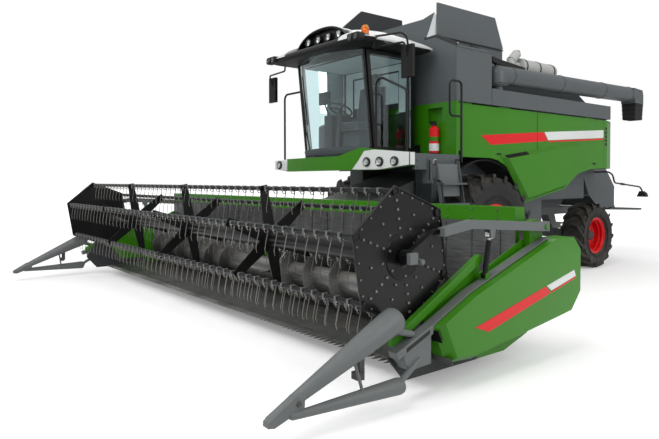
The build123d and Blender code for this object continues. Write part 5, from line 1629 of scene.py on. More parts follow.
@dataclass
class BumperLamps:
    """Pale lamp panels of the bumper with their lamps, and the far end's lamp."""

    paints: Paints
    reach: float = 1.62

    def _face_y(self, x: float) -> float:
        """Y of the bowed bumper's face at x."""
        return -1.9 - 0.2 * (1 - (x / self.reach) ** 2)

    def build(self) -> None:
        """Makes the panels, lamp cups and lenses."""
        panel = Shape("bumper_lamp_panel")
        low = (
            (0.64, 1.86), (0.78, 1.853), (0.95, 1.852), (1.15, 1.853), (1.3, 1.872), (1.45, 1.89),
            (1.612, 1.912)
        )
        high = (
            (0.66, 1.866), (0.78, 1.99), (0.88, 2.12), (1.05, 2.132), (1.25, 2.115), (1.45, 2.096),
            (1.612, 2.08)
        )
        inner_low = [(x, self._face_y(x) - 0.001, z) for x, z in low]
        inner_high = [(x, self._face_y(x) - 0.001, z) for x, z in high]
        outer_low = [(x, self._face_y(x) - 0.012, z + 0.005) for x, z in low]
        outer_high = [(x, self._face_y(x) - 0.012, z - 0.005) for x, z in high]
        panel.surface([inner_low, outer_low, outer_high, inner_high])
        top = [(x, self._face_y(x) + 0.08, z + 0.002) for x, z in high[2:]]
        panel.surface([inner_high[2:], [(x, y - 0.004, z + 0.003) for x, y, z in inner_high[2:]], top])
        panel.plate([
            (-1.901, 1.914), (-1.814, 1.914), (-1.814, 2.082), (-1.901, 2.082)
        ], Along.X, 1.618, 1.6235)
        panel.put("machine", "white", self.paints, 50.0)
        far = Shape("far_lamp_block")
        far.plate(
            [(-1.4, 1.893), (-1.05, 1.856), (-1.05, 2.055), (-1.4, 2.04)], Along.Y, self._face_y(-1.2) - 0.04,
            self._face_y(-1.2) + 0.02
        )
        far.put("machine", "white", self.paints, bevel=0.015)
        cups = Shape("bumper_lamp_cups")
        bowls = Shape("bumper_lamp_bowls")
        lenses = Shape("bumper_lamp_lenses")
        for x, proud in ((0.93, 0.018), (1.15, 0.018), (1.39, 0.018), (-1.25, 0.058)):
            spot = (x, self._face_y(x) - proud, 1.965)
            cups.turned([
                (-0.014, 0.052), (-0.016, 0.058), (-0.01, 0.066), (proud + 0.004, 0.067),
                (proud + 0.004, 0.052)
            ], spot, Along.Y, 32)
            bowls.turned([
                (-0.01, 0.052), (-0.004, 0.04), (-0.002, 0.016), (-0.008, 0.012), (-0.008, 0.001),
                (-0.001, 0.001), (-0.001, 0.052)
            ], spot, Along.Y, 28)
            lenses.turned([
                (-0.016, 0.001), (-0.014, 0.036), (-0.011, 0.051), (-0.0095, 0.051), (-0.01, 0.001)
            ], spot, Along.Y, 28)
        cups.put("machine", "dark_plastic", self.paints)
        bowls.put("machine", "reflector", self.paints)
        lenses.put("machine", "lens", self.paints)


@dataclass
class PlatformTrim:
    """Trims of the platform, extinguisher, ladder, front wheel arches and the bulges' grilles."""

    paints: Paints
    bottle: Flat = (1.15, -0.8753)
    liner_radius: float = 1.128
    lamp_spot: Point = (1.601, -1.38, 1.955)
    bulge_foot: Flat = (0.34, 2.09)
    bulge_slope: float = 0.12766

    def build(self) -> None:
        """Makes the trims round the access platform."""
        self._fascia()
        self._bottle()
        self._liners()
        self._panel_grilles()
        self._ladder()

    def _fascia(self) -> None:
        """Lamp, bolts and dark end of the platform's fascia."""
        lamp = Shape("platform_lamp")
        lamp.turned([
            (0.0, 0.002), (0.0, 0.034), (0.012, 0.03), (0.016, 0.016), (0.017, 0.002)
        ], self.lamp_spot, Along.X, 24)
        lamp.put("machine", "red_lens", self.paints)
        ring = Shape("platform_lamp_ring")
        ring.turned([(0.0, 0.034), (0.0, 0.042), (0.008, 0.04), (0.008, 0.034)], self.lamp_spot, Along.X, 24)
        ring.put("machine", "white", self.paints)
        bolts = Shape("platform_bolts")
        bolts.bolts([(1.601, y, z) for y in (-1.74, -1.01) for z in (1.885, 1.975)], Along.X, 0.011, 0.007)
        bolts.put("machine", "iron", self.paints)
        cap = Shape("platform_end_cap")
        cap.block((1.545, -0.958, 1.846), (1.606, -0.872, 2.008))
        cap.put("machine", "dark_plastic", self.paints, bevel=0.008)

    def _bottle(self) -> None:
        """Foot, label bands and clamp of the extinguisher."""
        x, y = self.bottle
        bands = (
            ("extinguisher_foot", "dark_plastic", 2.072, 2.112),
            ("extinguisher_green_band", "green", 2.285, 2.35),
            ("extinguisher_pale_label", "white", 2.14, 2.25)
        )
        for name, paint, low, high in bands:
            band = Shape(name)
            band.turned([
                (0.0, 0.0745), (0.0, 0.0768), (high - low, 0.0768), (high - low, 0.0745)
            ], (x, y, low), Along.Z, 40)
            band.put("machine", paint, self.paints)
        grip = Shape("extinguisher_grip")
        grip.block((x - 0.022, y - 0.09, 2.568), (x + 0.022, y + 0.024, 2.58))
        grip.block((x - 0.014, y - 0.095, 2.54), (x + 0.014, y - 0.05, 2.55))
        grip.turned([(0.0, 0.03), (0.0, 0.04), (0.03, 0.04), (0.03, 0.03)], (x, y, 2.514), Along.Z, 28)
        grip.block((x - 0.024, y - 0.052, 2.526), (x + 0.024, y + 0.022, 2.567))
        grip.put("machine", "dark_plastic", self.paints, bevel=0.002)

    def _ladder(self) -> None:
        """Kick plate and black hand loops of the access ladder."""
        plate = Shape("ladder_kick_plate")
        for edges in (((1.668, 1.93), (1.712, 1.48)), ((1.72, 1.48), (1.676, 1.93))):
            plate.surface([[(x, y, z) for y in (-1.44, -0.985)] for x, z in edges])
        plate.put("ladder", "header_grey", self.paints)
        loop = Shape("ladder_hand_loops")
        for path in (
            [(1.69, -0.985, 1.76), (1.735, -0.84, 1.79), (1.8, -0.835, 1.3), (1.815, -0.985, 1.16)],
            [(1.7, -1.44, 1.7), (1.79, -1.47, 1.69), (1.85, -1.47, 1.25), (1.81, -1.445, 1.12)]
        ):
            loop.pipe(path, 0.013, 10, 5, 0.09)
        loop.put("ladder", "black", self.paints)

    def _liners(self) -> None:
        """Dark liners in both front wheel arches."""
        liner = Shape("front_wheel_liners")
        _, y0, z0 = FRONT_WHEEL
        turns = [radians(22 + 7.0 * index) for index in range(15)]
        for sign in (1.0, -1.0):
            rows = []
            for x, radius in (
                (0.96, self.liner_radius), (1.405, self.liner_radius), (1.42, self.liner_radius - 0.02),
                (1.42, self.liner_radius - 0.006), (1.4, self.liner_radius - 0.008),
                (0.96, self.liner_radius - 0.008)
            ):
                rows.append([(sign * x, y0 + radius * cos(turn), z0 + radius * sin(turn)) for turn in turns])
            liner.surface(rows)
        liner.put("machine", "dark_plastic", self.paints, 40.0)

    def _panel_grilles(self) -> None:
        """Dark slotted grilles in the upper bevel of the panels' bulges."""
        across = (0.075, 0.0081, -0.0635)
        lift = (0.649, -0.096, 0.754)
        for side, sign in (("left", 1.0), ("right", -1.0)):
            def patch(start: float, end: float, low: float, high: float, height: float) -> list[Point]:
                """Four corners of a patch on the bevel.

                Args:
                    start: Its first y.
                    end: Its last y.
                    low: Share of the bevel's width where it begins.
                    high: Share where it ends.
                    height: How far it stands off the bevel.

                Returns:
                    The corners in order.
                """
                spots = []
                for y, share in ((start, low), (end, low), (end, high), (start, high)):
                    base = (PANEL_FACE_X, y, self.bulge_foot[1] + (y - self.bulge_foot[0]) * self.bulge_slope)
                    out = [base[i] + across[i] * share + lift[i] * height for i in range(3)]
                    spots.append((sign * out[0], out[1], out[2]))
                return spots

            grille = Shape(f"{side}_bulge_grille")
            grille.faces(patch(0.44, 1.04, 0.14, 0.86, 0.0012), [(0, 1, 2, 3)])
            grille.put(f"panel_{side}", "black", self.paints)
            slats = Shape(f"{side}_bulge_slats")
            for index in range(17):
                y = 0.455 + index * 0.036
                ring = patch(y, y + 0.01, 0.1, 0.9, 0.001) + patch(y, y + 0.01, 0.1, 0.9, 0.006)
                slats.faces(
                    ring, [(3, 2, 1, 0), (4, 5, 6, 7), (0, 1, 5, 4), (1, 2, 6, 5), (2, 3, 7, 6), (3, 0, 4, 7)]
                )
            slats.put(f"panel_{side}", "dark_plastic", self.paints)


@dataclass
class ReelTines:
    """Six tine bars with sprung tines, in place of the plain combs."""

    paints: Paints
    radius: float = 0.53
    turn: float = -9.5
    pitch: float = 0.15
    length: float = 0.25
    tube_radius: float = 0.021
    coil_radius: float = 0.02
    wire_radius: float = 0.0042

    def corners(self) -> list[Flat]:
        """Centres of the six bars.

        Returns:
            Y and Z of each bar.
        """
        angles = [radians(90 + self.turn + 60 * index) for index in range(6)]
        return [
            (REEL_AXIS[0] - self.radius * cos(angle), REEL_AXIS[1] + self.radius * sin(angle))
            for angle in angles
        ]

    def build(self) -> None:
        """Makes the tubes, the tines with coils, and the clamps."""
        tubes = Shape("tine_bar_tubes")
        tines = Shape("sprung_tines")
        clamps = Shape("tine_clamps")
        count = int((2 * REEL_HALF - 0.08) / self.pitch)
        first = -(count - 1) * self.pitch / 2
        for y, z in self.corners():
            tubes.bar((-REEL_HALF - 0.012, y, z), (REEL_HALF + 0.012, y, z), self.tube_radius, sides=16)
            for index in range(count):
                x = first + index * self.pitch
                self._tine(tines, x, y, z)
                clamps.block((x - 0.011, y - 0.027, z - 0.025), (x + 0.011, y + 0.027, z + 0.025))
        tubes.put("reel", "black", self.paints, replaces=("reel_bars",))
        tines.put("reel", "tine", self.paints, 60.0)
        clamps.put("reel", "header_grey", self.paints)

    def _tine(self, tines: Shape, x: float, y: float, z: float) -> None:
        """Adds one tine with the coil at its root.

        Args:
            tines: Shape that takes the tine.
            x: Place along the bar.
            y: Y of the bar.
            z: Height of the bar.
        """
        coil = []
        r = self.coil_radius
        for step in range(13):
            angle = step * pi / 3
            coil.append((x + 0.016 + 0.0012 * step, y - 0.014 + r * cos(angle), z - 0.03 + r * sin(angle)))
        tines.pipe(coil, 0.0035, 4)
        tip = z - self.length
        wire = self.wire_radius
        tines.loft_rings([
            ((x + 0.03, y + 0.006, z - 0.03), wire), ((x + 0.012, y - 0.004, z - 0.12), wire),
            ((x, y - 0.012, tip + 0.04), wire), ((x, y - 0.002, tip), 0.003)
        ], 5)


@dataclass
class ReelFrame:
    """Rows of bolts, rims and bearing rings of the reel's end plates, and the drive block."""

    paints: Paints
    tines: ReelTines

    def _out(self, x: float, scale: float, y: float, z: float) -> Point:
        """Point at x whose distance from the reel's axis is that of y and z, scaled."""
        return (x, REEL_AXIS[0] + scale * (y - REEL_AXIS[0]), REEL_AXIS[1] + scale * (z - REEL_AXIS[1]))

    def build(self) -> None:
        """Makes the end plates' trims and the drive block on the near carriage."""
        bolts = Shape("reel_plate_bolts")
        rims = Shape("reel_plate_rims")
        corners = self.tines.corners()
        y0, z0 = REEL_AXIS
        for sign in (1.0, -1.0):
            face = sign * REEL_HALF
            for index, (y, z) in enumerate(corners):
                other = corners[(index + 1) % 6]
                middle = (0.5 * (y + other[0]), 0.5 * (z + other[1]))
                edge = [(y + s * (other[0] - y), z + s * (other[1] - z)) for s in (0.15, 0.38, 0.62, 0.85)]
                for size, row in (
                    (0.012, [self._out(face, share, y, z) for share in (0.3, 0.44, 0.58, 0.72, 0.86)]),
                    (0.011, [self._out(face, share, *middle) for share in (0.5, 0.76)]),
                    (0.009, [self._out(face, 1.02, *spot) for spot in edge])
                ):
                    bolts.bolts(row, Along.X, size, sign * size)
                rim_x = face + sign * 0.003
                rims.pipe([self._out(rim_x, 1.075, y, z), self._out(rim_x, 1.075, *other)], 0.008, 6)
                rims.turned([
                    (0.0, 0.024), (0.016, 0.024), (0.016, 0.036), (0.0, 0.036)
                ], (face, y, z), Along.X, 20, sign)
            rims.turned([
                (0.0, 0.06), (0.006, 0.18), (0.008, 0.186), (0.0, 0.19)
            ], (face, y0, z0), Along.X, 36, sign)
        bolts.put("reel", "tine", self.paints)
        rims.put("reel", "black", self.paints)
        drive = Shape("reel_drive_block")
        drive.block((3.892, y0 - 0.085, z0 - 0.045), (3.934, y0 + 0.005, z0 + 0.045))
        drive.bar((3.892, y0 + 0.045, z0 - 0.03), (3.95, y0 + 0.045, z0 - 0.03), 0.026, 0.022, 18)
        drive.put("carriages", "header_grey", self.paints, bevel=0.005)


@dataclass
class KnifeBar:
    """Guards and knife sections in place of the toothed solid."""

    paints: Paints
    y: float = -4.02
    z: float = 0.15
    pitch: float = 0.0762
    guard_reach: float = 0.153

    def build(self) -> None:
        """Makes the guards with their knife sections."""
        guards = Shape("knife_guards")
        sections = Shape("knife_sections")
        count = int(2 * HEADER_HALF / self.pitch)
        first = -(count - 1) * self.pitch / 2
        guards.block((-HEADER_HALF, self.y - 0.06, self.z - 0.016), (HEADER_HALF, self.y, self.z - 0.004))
        for index in range(count):
            x = first + index * self.pitch
            tip = self.y - self.guard_reach
            rows = [
                (x, self.y - 0.045, 0.013), (x, self.y - 0.085, 0.012), (x, self.y - 0.12, 0.008),
                (x, tip, 0.0015)
            ]
            guards.loft_rings([((a, b, self.z - 0.006), r) for a, b, r in rows], 6)
            middle = x + self.pitch / 2
            sections.plate([
                (middle - 0.035, self.y - 0.02), (middle + 0.035, self.y - 0.02),
                (middle + 0.008, self.y - 0.085), (middle - 0.008, self.y - 0.085)
            ], Along.Z, self.z - 0.003, self.z)
        guards.put("header", "knife", self.paints, replaces=("cutterbar",))
        sections.put("header", "steel", self.paints)


@dataclass
class FeedAuger:
    """Smooth flights in place of the faceted ones, and the finger guides."""

    paints: Paints
    core: float = 0.155
    radius: float = 0.305
    pitch: float = 0.5
    zone: float = 0.56
    turn_steps: int = 36

    def build(self) -> None:
        """Makes the flights on both sides and the finger guides."""
        flights = Shape("smooth_flights")
        length = HEADER_HALF - 0.06 - self.zone
        steps = int(length / self.pitch * self.turn_steps)
        y, z = AUGER_AXIS
        for sign in (1.0, -1.0):
            rows = []
            for step in range(steps + 1):
                turn = 2 * pi * step / self.turn_steps
                x = self.zone + self.pitch * step / self.turn_steps
                row = []
                for r, lift in (
                    (self.core - 0.004, 0.0), (self.radius, 0.0), (self.radius, 0.006),
                    (self.core - 0.004, 0.006), (self.core - 0.004, 0.0)
                ):
                    row.append((sign * (x + lift), y + r * cos(turn), z + r * sin(turn)))
                rows.append(row)
            flights.surface(rows)
        bmesh.ops.remove_doubles(flights.mesh, verts=flights.mesh.verts, dist=0.0002)
        flights.put("auger", "steel", self.paints, 50.0, replaces=("auger_flights",))
        guides = Shape("finger_guides")
        for index in range(8):
            x = -self.zone + 0.08 + index * (2 * self.zone - 0.16) / 7
            angle = radians(90 + index * 135)
            foot = (x, y + self.core * 0.97 * cos(angle), z + self.core * 0.97 * sin(angle))
            top = (x, y + self.core * 1.1 * cos(angle), z + self.core * 1.1 * sin(angle))
            guides.bar(foot, top, 0.026, 0.018, 12)
        guides.put("auger", "dark_plastic", self.paints)


@dataclass
class CropDividers:
    """Smooth cones, shoes, stays and seats of both crop dividers, in place of the plain solids."""

    paints: Paints
    x: float = 3.895

    def build(self) -> None:
        """Makes both dividers with their dark clamps and nuts."""
        x = self.x
        cones = Shape("divider_cones")
        cones.loft_rings([
            ((x, -5.69, 0.16), 0.016), ((x, -5.66, 0.173), 0.028), ((x, -5.44, 0.266), 0.044),
            ((x, -4.56, 0.64), 0.102), ((x, -4.515, 0.659), 0.098), ((x, -4.49, 0.67), 0.08),
            ((x, -4.48, 0.674), 0.03)
        ], 40)
        cones.loft_rings([
            ((x + 0.04, -5.52, 0.175), 0.018), ((x + 0.041, -5.5, 0.175), 0.026),
            ((x + 0.067, -4.55, 0.175), 0.064), ((x + 0.068, -4.52, 0.175), 0.058),
            ((x + 0.068, -4.508, 0.175), 0.03)
        ], 32)
        cones.plate([
            (-5.69, 0.14), (-5.64, 0.13), (-5.4, 0.205), (-5.395, 0.285), (-5.47, 0.3), (-5.69, 0.175)
        ], Along.X, x - 0.02, x + 0.046)
        cones.bar((x + 0.02, -4.95, 0.45), (x + 0.07, -4.9, 0.19), 0.012)
        cones.bar((x, -4.6, 0.6), (x + 0.01, -4.33, 0.515), 0.028, sides=20)
        cones.bar((x + 0.066, -4.56, 0.18), (x + 0.05, -4.29, 0.33), 0.024, sides=20)
        cones.plate([
            (-4.4, 0.255), (-4.46, 0.33), (-4.47, 0.44), (-4.16, 0.555), (-4.16, 0.265)
        ], Along.X, 3.814, x + 0.052)
        cones.mirrored()
        cones.put("header", "header_grey", self.paints, 34.0, bevel=0.004, replaces=("crop_dividers",))
        clamps = Shape("divider_clamps")
        clamps.bolts([(x + 0.046, -5.45, 0.245)], Along.X, 0.02, 0.012)
        clamps.block((x - 0.01, -4.9, 0.3), (x + 0.03, -4.85, 0.48))
        clamps.block((x - 0.028, -4.93, 0.285), (x + 0.052, -4.87, 0.34))
        clamps.turned([
            (-0.018, 0.012), (-0.018, 0.034), (0.018, 0.034), (0.018, 0.012)
        ], (x + 0.067, -4.525, 0.19), Along.X, 24)
        clamps.mirrored()
        clamps.put("header", "iron", self.paints, bevel=0.003)


@dataclass
class HeaderTrim:
    """Stripes, shoes, rails, decks and nose trims of the header's ends, wall ribs and beam bolts."""

    paints: Paints
    face_x: float = 4.03

    def build(self) -> None:
        """Makes the trims on both ends and on the header's back."""
        for side, sign in (("left", 1.0), ("right", -1.0)):
            x = sign * self.face_x
            stripes = (
                ("red_stripe", "red", [(-3.715, 0.497), (-2.668, 0.719), (-2.582, 0.65), (-3.535, 0.434)]),
                ("white_stripe", "white", [(-2.65, 0.723), (-2.165, 0.826), (-2.132, 0.765), (-2.572, 0.67)]),
                ("thin_stripe", "red", [(-2.568, 0.665), (-2.132, 0.76), (-2.126, 0.747), (-2.552, 0.652)])
            )
            lay_stripes(f"{side}_header", "header", x, sign, stripes, self.paints)
        shoe = Shape("header_end_shoes")
        outline = [
            (-4.323, 0.127), (-4.504, 0.33), (-4.354, 0.564), (-4.14, 0.632), (-4.0, 0.42), (-3.86, 0.25),
            (-3.4, 0.25), (-3.4, 0.127)
        ]
        shoe.plate(outline, Along.X, 3.7995, 3.8135)
        shoe.mirrored()
        shoe.put("header", "shade_grey", self.paints, 30.0)
        self._rails()
        self._nose()
        bolts = Shape("header_beam_bolts")
        bolts.bolts([
            (x / 10, -2.815, z) for x in range(-36, 37, 3) for z in (1.33, 1.42)
        ], Along.Y, 0.01, -0.008)
        bolts.put("header", "header_grey", self.paints)
        ribs = Shape("header_wall_ribs")
        for index in range(23):
            x = -3.63 + index * 0.33
            if abs(x) > 0.6:
                ribs.plate([
                    (x - 0.012, 0.55), (x + 0.012, 0.55), (x + 0.012, 1.28), (x - 0.012, 1.28)
                ], Along.Y, -2.822, -2.8155)
        ribs.put("header", "pan_steel", self.paints)

    def _rails(self) -> None:
        """Green inner rails and the grey decks beside them on both ends."""
        rail = Shape("header_inner_rails")
        rail.plate([
            (-4.52, 0.44), (-4.505, 0.5), (-3.44, 1.06), (-3.395, 1.05), (-3.385, 0.87), (-3.69, 0.752),
            (-4.34, 0.548)
        ], Along.X, 3.8135, 3.822)
        rail.plate([
            (-4.52, 0.44), (-4.505, 0.5), (-3.44, 1.06), (-3.395, 1.05), (-3.39, 0.99), (-3.43, 0.985),
            (-4.46, 0.445)
        ], Along.X, 3.822, 3.868)
        rail.mirrored()
        rail.put("header", "green", self.paints, 30.0, bevel=0.006)
        deck = Shape("header_end_decks")
        deck.plate([
            (-4.56, 0.42), (-4.14, 0.578), (-3.69, 0.775), (-2.5, 1.16), (-2.5, 1.151), (-3.69, 0.763),
            (-4.14, 0.562), (-4.15, 0.5), (-4.54, 0.365)
        ], Along.X, 3.868, 3.958)
        deck.mirrored()
        deck.put("header", "header_grey", self.paints, 30.0, bevel=0.003)
        slot = Shape("header_deck_slots")
        slot.plate([(-4.45, 0.406), (-4.45, 0.438), (-4.19, 0.54), (-4.19, 0.508)], Along.X, 3.9575, 3.9605)
        slot.mirrored()
        slot.put("header", "black", self.paints)

    def _nose(self) -> None:
        """Dark lamp recess and dark foot on the front of both end covers."""
        recess = Shape("header_nose_recess")
        foot = Shape("header_nose_foot")
        for shape, low, high, inset in ((recess, 0.12, 0.42, 0.04), (foot, 0.82, 1.0, 0.01)):
            corners = []
            for share in (low, high):
                corners.append((-4.14 + 0.16 * share - 0.003, 0.56 - 0.33 * share - 0.002))
            (ya, za), (yb, zb) = corners
            shape.plate([
                (ya, za), (yb, zb), (yb + 0.006, zb + 0.003), (ya + 0.006, za + 0.003)
            ], Along.X, 3.832 + inset, 4.028 - inset)
            shape.mirrored()
        recess.put("header", "black", self.paints, bevel=0.001)
        foot.put("header", "iron", self.paints, bevel=0.001)


@dataclass
class TankTrim:
    """Folds, a flange painted dark as shade, seals and bolts of the grain tank, and the filling auger inside.
    """

    paints: Paints

    def build(self) -> None:
        """Makes the tank's folds, ears, front flange painted dark as shade, seals and bolts, and the auger.
        """
        folds = Shape("tank_folds")
        for sign in (1.0, -1.0):
            folds.pipe([
                (sign * 1.499, -0.79, 3.66), (sign * 1.499, 0.045 if sign > 0 else 0.895, 3.66)
            ], 0.011, 8)
            folds.pipe([(sign * 1.1, -0.79, 3.868), (sign * 1.1, 0.895, 3.868)], 0.012, 8)
        folds.put("machine", "grey", self.paints)
        ears = Shape("extension_ear_folds")
        ears.surface([
            [(0.935, -0.801, 3.886), (1.086, -0.801, 4.238)], [(1.0, -0.803, 3.888), (1.094, -0.8, 4.225)],
            [(1.06, -0.79, 3.894), (1.098, -0.785, 4.205)], [(1.097, -0.75, 3.905), (1.098, -0.745, 4.18)]
        ])
        ears.put("machine", "cab_pale", self.paints, 60.0)
        # Dark flange in the painted-shade grey that stands for the shadow under the near lid at the tank's
        # front edge; mirrored to the far side.
        flange = Shape("tank_front_shade_flange")
        flange.plate([
            (0.88, 3.856), (0.88, 3.894), (1.14, 3.894), (1.508, 3.716), (1.508, 3.655), (1.1, 3.86)
        ], Along.Y, -0.799, -0.7905)
        flange.mirrored()
        flange.put("machine", "shade_grey", self.paints)
        seals = Shape("lid_seals")
        for sign in (1.0, -1.0):
            seals.block((sign * 1.114 - 0.013, -0.785, 3.869), (sign * 1.114 + 0.013, 0.89, 3.8812))
            seals.block((sign * 1.114 - 0.013, -0.786, 3.869), (sign * 1.114 + 0.013, -0.752, 3.893))
        seals.put("machine", "dark_plastic", self.paints)
        bolts = Shape("tank_bolts")
        bolts.bolts([(x / 10, -0.795, 2.95) for x in range(-13, 14, 2)], Along.Y, 0.01, -0.007)
        bolts.bolts([(1.5, -0.7 + 0.15 * i, 2.93) for i in range(5)], Along.X, 0.01, 0.007)
        bolts.put("machine", "header_grey", self.paints)
        filler = Shape("tank_filling_auger")
        filler.bar((0.35, 0.6, 2.9), (0.06, 0.08, 3.66), 0.13, sides=28)
        filler.bar((0.06, 0.08, 3.66), (0.04, 0.045, 3.71), 0.15, sides=28)
        filler.put("machine", "steel", self.paints)


@dataclass
class UnloaderTrim:
    """Flanges, seams, bracket and bolts of the unloading tube, and the spout's ribs."""

    paints: Paints
    axis_x: float = 1.4
    axis_y: float = 0.33
    flange_bolts: float = 0.163

    def build(self) -> None:
        """Makes the rings, the bracket over the turret, the bolts and the ribs."""
        rings = Shape("unloader_rings")
        for z in (3.196, 3.222):
            band = [(0.0, 0.148), (0.0, 0.176), (0.012, 0.176), (0.012, 0.148)]
            rings.turned(band, (self.axis_x, self.axis_y, z), Along.Z, 40)
        for y in (0.62, 2.1, 3.6, 4.7):
            z = 3.37 + 0.07 * (y - self.axis_y) / 4.63
            band = [(0.0, 0.148), (0.0, 0.158), (0.02, 0.158), (0.02, 0.148)]
            rings.turned(band, (self.axis_x, y, z), Along.Y, 40)
        rings.put("unloader", "grey", self.paints)
        bracket = Shape("unloader_bracket")
        bracket.plate([
            (0.17, 3.56), (0.175, 3.64), (0.33, 3.618), (1.06, 3.56), (1.06, 3.47), (0.96, 3.5), (0.3, 3.535)
        ], Along.X, 1.37, 1.43)
        bracket.plate([(0.28, 3.42), (0.28, 3.545), (0.44, 3.535), (0.5, 3.42)], Along.X, 1.385, 1.415)
        bracket.put("unloader", "black", self.paints)
        bolts = Shape("unloader_bolts")
        reach = self.flange_bolts
        turns = [index * pi / 6 for index in range(12)]
        spots = [(self.axis_x + reach * cos(t), self.axis_y + reach * sin(t), 3.234) for t in turns]
        bolts.bolts(spots, Along.Z, 0.009, 0.008)
        bolts.put("unloader", "header_grey", self.paints)
        ribs = Shape("spout_ribs")
        for index in range(4):
            z = 3.22 - index * 0.085
            half = 0.141 - 0.005 * index
            left, right = self.axis_x - half, self.axis_x + half
            corners = ((left, 4.818), (right, 4.818), (right, 5.152), (left, 5.152), (left, 4.818))
            ribs.pipe([(x, y, z) for x, y in corners], 0.006, 6)
        ribs.put("unloader", "spout", self.paints)


@dataclass
class EngineTop:
    """Bands and mouth of the air cleaner, the deck's rails and its louvres."""

    paints: Paints

    def build(self) -> None:
        """Makes the bands, the dark mouth, rails and louvres."""
        bands = Shape("air_cleaner_bands")
        for y in (1.88, 2.31, 2.78):
            bands.turned([
                (0.0, 0.149), (0.0, 0.156), (0.03, 0.156), (0.03, 0.149)
            ], (0.8, y, 3.76), Along.Y, 40)
        bands.turned([
            (0.0, 0.05), (0.0, 0.07), (0.012, 0.072), (0.012, 0.05)
        ], (0.8, 1.772, 3.987), Along.Y, 28)
        bands.put("machine", "dark_plastic", self.paints)
        rails = Shape("deck_rails")
        for x, y in ((0.45, 2.9), (-1.0, 1.3)):
            rails.pipe([(x, y, 3.56), (x, y, 3.98), (-1.0, 2.9, 3.98), (-1.0, 2.9, 3.56)], 0.016, 10, 5, 0.08)
        rails.put("machine", "black", self.paints)
        louvres = Shape("deck_louvres")
        for index in range(8):
            y = 1.81 + index * 0.11
            for step in range(4):
                x = -0.975 + 0.358 * step
                louvres.block((x, y + 0.004, 3.537), (x + 0.345, y + 0.051, 3.549))
        louvres.put("machine", "black", self.paints)


@dataclass
class RearTrim:
    """Lamps and vents of the rear, and the work lamp on its arm."""

    paints: Paints

    def build(self) -> None:
        """Makes the rear's pieces."""
        lamps = Shape("rear_lamps")
        for sign in (1.0, -1.0):
            lamps.block((sign * 1.04 - 0.06, 4.395, 2.02), (sign * 1.04 + 0.06, 4.425, 2.16))
        lamps.put("machine", "red_lens", self.paints, bevel=0.006)
        vent = Shape("cowl_vents")
        for sign in (1.0, -1.0):
            for index in range(5):
                low, high = 2.36 + 0.075 * index, 2.41 + 0.075 * index
                outline = [(3.72, low), (3.8, low), (3.8, high), (3.72, high)]
                vent.plate(outline, Along.X, sign * 1.462, sign * 1.452)
        vent.put("machine", "black", self.paints)
        arm = Shape("work_lamp_arm")
        arm.pipe([
            (0.91, 4.42, 1.86), (1.3, 4.2, 1.86), (1.42, 4.13, 1.8), (1.43, 4.18, 1.64), (1.44, 4.46, 1.615),
            (1.45, 5.26, 1.55), (1.45, 5.38, 1.44)
        ], 0.016, 10, 4, 0.06)
        arm.bar((1.44, 4.44, 1.617), (1.44, 4.56, 1.607), 0.024, sides=16)
        arm.put("machine", "black", self.paints)
        lamp = Shape("work_lamp")
        lamp.plate([(1.35, 1.34), (1.55, 1.34), (1.52, 1.42), (1.47, 1.46), (1.4, 1.46)], Along.Y, 5.32, 5.44)
        lamp.put("machine", "dark_plastic", self.paints, bevel=0.008)


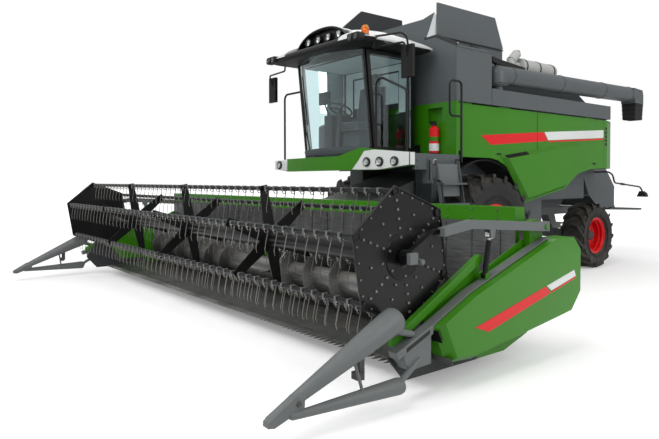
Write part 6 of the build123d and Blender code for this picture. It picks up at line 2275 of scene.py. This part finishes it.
@dataclass
class Studio:
    """Pale floor, soft lights, white surroundings and the camera."""

    paints: Paints
    eye: Point = (7.013, -7.705, 1.717)
    yaw: float = 0.919
    pitch: float = -0.022
    roll: float = 0.002
    lens: float = 32.03
    shift: Flat = (0.0307, -0.0411)
    lamps: list[tuple[str, Point, Point, float, float]] = field(
        default_factory=lambda: [
            ("key_softbox", (2.0, -9.0, 10.5), (0.0, 0.0, 1.2), 9.0, 900.0),
            ("side_softbox", (11.0, 1.0, 6.5), (0.0, 1.0, 1.6), 7.0, 420.0),
            ("rear_softbox", (-8.0, 9.0, 8.0), (0.0, 1.0, 2.0), 8.0, 350.0)
        ]
    )

    def build(self) -> None:
        """Sets the whole stage."""
        self._floor()
        self._world()
        for name, spot, target, size, power in self.lamps:
            self._softbox(name, spot, target, size, power)
        self._camera()
        bpy.context.scene.view_settings.view_transform = "Standard"

    def _floor(self) -> None:
        """Large pale floor that keeps the shadow."""
        data = bpy.data.meshes.new("studio_floor")
        reach = 90.0
        data.from_pydata([
            (-reach, -reach, 0), (reach, -reach, 0), (reach, reach, 0), (-reach, reach, 0)
        ], [], [(0, 1, 2, 3)])
        floor = bpy.data.objects.new("studio_floor", data)
        bpy.context.scene.collection.objects.link(floor)
        sheet = MaterialSheet("pale_floor")
        path = add_node(sheet.tree, "LightPath")
        seen = add_node(sheet.tree, "Math", operation="ADD")
        sheet.link(path, "Is Camera Ray", seen, 0)
        sheet.link(path, "Is Transmission Ray", seen, 1)
        sheet.set(
            Base_Color=(0.9, 0.9, 0.9, 1), Roughness=0.85, Emission_Color=(1, 1, 1, 1), Specular_IOR_Level=0.1
        )
        place = add_node(sheet.tree, "TexCoord")
        far = add_node(sheet.tree, "VectorMath", operation="LENGTH")
        level = add_node(sheet.tree, "MapRange", in_1=7.0, in_2=17.0, in_3=0.24, in_4=0.75)
        sheet.link(place, "Object", far, 0)
        sheet.link(far, "Value", level, 0)
        glow = add_node(sheet.tree, "Math", operation="MULTIPLY", use_clamp=True)
        sheet.link(seen, 0, glow, 0)
        sheet.link(level, 0, glow, 1)
        sheet.link(glow, 0, sheet.shader, "Emission Strength")
        data.materials.append(sheet.material)

    def _world(self) -> None:
        """White for the eye and through glass, softer as light and in gloss."""
        world = bpy.data.worlds.new("studio_world")
        world.use_nodes = True
        bpy.context.scene.world = world
        tree = world.node_tree
        back = tree.nodes["Background"]
        back.inputs["Color"].default_value = (1, 1, 1, 1)
        path = add_node(tree, "LightPath")
        seen = add_node(tree, "Math", operation="MAXIMUM")
        tree.links.new(path.outputs["Is Camera Ray"], seen.inputs[0])
        tree.links.new(path.outputs["Is Transmission Ray"], seen.inputs[1])
        level = add_node(tree, "MapRange", in_3=0.55, in_4=1.0)
        tree.links.new(seen.outputs[0], level.inputs[0])
        tree.links.new(level.outputs[0], back.inputs["Strength"])

    def _softbox(self, name: str, spot: Point, target: Point, size: float, power: float) -> None:
        """Adds one square area lamp that faces a point.

        Args:
            name: Name of the lamp.
            spot: Its place.
            target: What it faces.
            size: Edge length.
            power: Watts.
        """
        data = bpy.data.lights.new(name, "AREA")
        data.size = size
        data.energy = power
        lamp = bpy.data.objects.new(name, data)
        lamp.location = spot
        lamp.rotation_euler = (Vector(target) - Vector(spot)).to_track_quat("-Z", "Y").to_euler()
        bpy.context.scene.collection.objects.link(lamp)

    def _camera(self) -> None:
        """Places the camera at the photograph's viewing angle."""
        data = bpy.data.cameras.new("photo_camera")
        data.lens = self.lens
        data.shift_x, data.shift_y = self.shift
        data.clip_end = 300.0
        camera = bpy.data.objects.new("photo_camera", data)
        camera.location = self.eye
        camera.rotation_euler = (pi / 2 + self.pitch, self.roll, self.yaw)
        bpy.context.scene.collection.objects.link(camera)
        bpy.context.scene.camera = camera


def corners(box: object) -> list[list[float]]:
    """Bounds as plain lists of numbers."""
    return [[float(value) for value in corner] for corner in box]


def main() -> None:
    """Builds the looks piece by piece."""
    logging.basicConfig(level=logging.INFO, format="%(message)s")
    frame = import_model()
    paints = Paints()
    dress_nodes(frame["nodes"], paints)
    for side, sign in (("left", 1.0), ("right", -1.0)):
        front = (sign * FRONT_WHEEL[0], FRONT_WHEEL[1], FRONT_WHEEL[2])
        rear = (sign * REAR_WHEEL[0], REAR_WHEEL[1], REAR_WHEEL[2])
        FarmTyre(
            side, "front", front, radius=0.9, width=0.65, rim_radius=0.42, bars=18, bar_height=0.045,
            bar_width=0.062, paints=paints
        ).build()
        FarmTyre(
            side, "rear", rear, radius=0.625, width=0.46, rim_radius=0.325, bars=16, bar_height=0.036,
            bar_width=0.048, paints=paints
        ).build()
        WheelHub(side, "front", front, rim_radius=0.42, width=0.65, bolts=10, paints=paints).build()
        WheelHub(side, "rear", rear, rim_radius=0.325, width=0.46, bolts=8, paints=paints).build()
    tines = ReelTines(paints)
    pieces = [
        SideLivery(paints), CabTop(paints), CabFront(paints), BumperLamps(paints), PlatformTrim(paints),
        tines, ReelFrame(paints, tines), KnifeBar(paints), FeedAuger(paints), CropDividers(paints),
        HeaderTrim(paints), TankTrim(paints), UnloaderTrim(paints), EngineTop(paints), RearTrim(paints)
    ]
    for piece in pieces:
        piece.build()
        LOG.info("built %s", type(piece).__name__)
    Studio(paints).build()


if __name__ == "__main__":
    main()
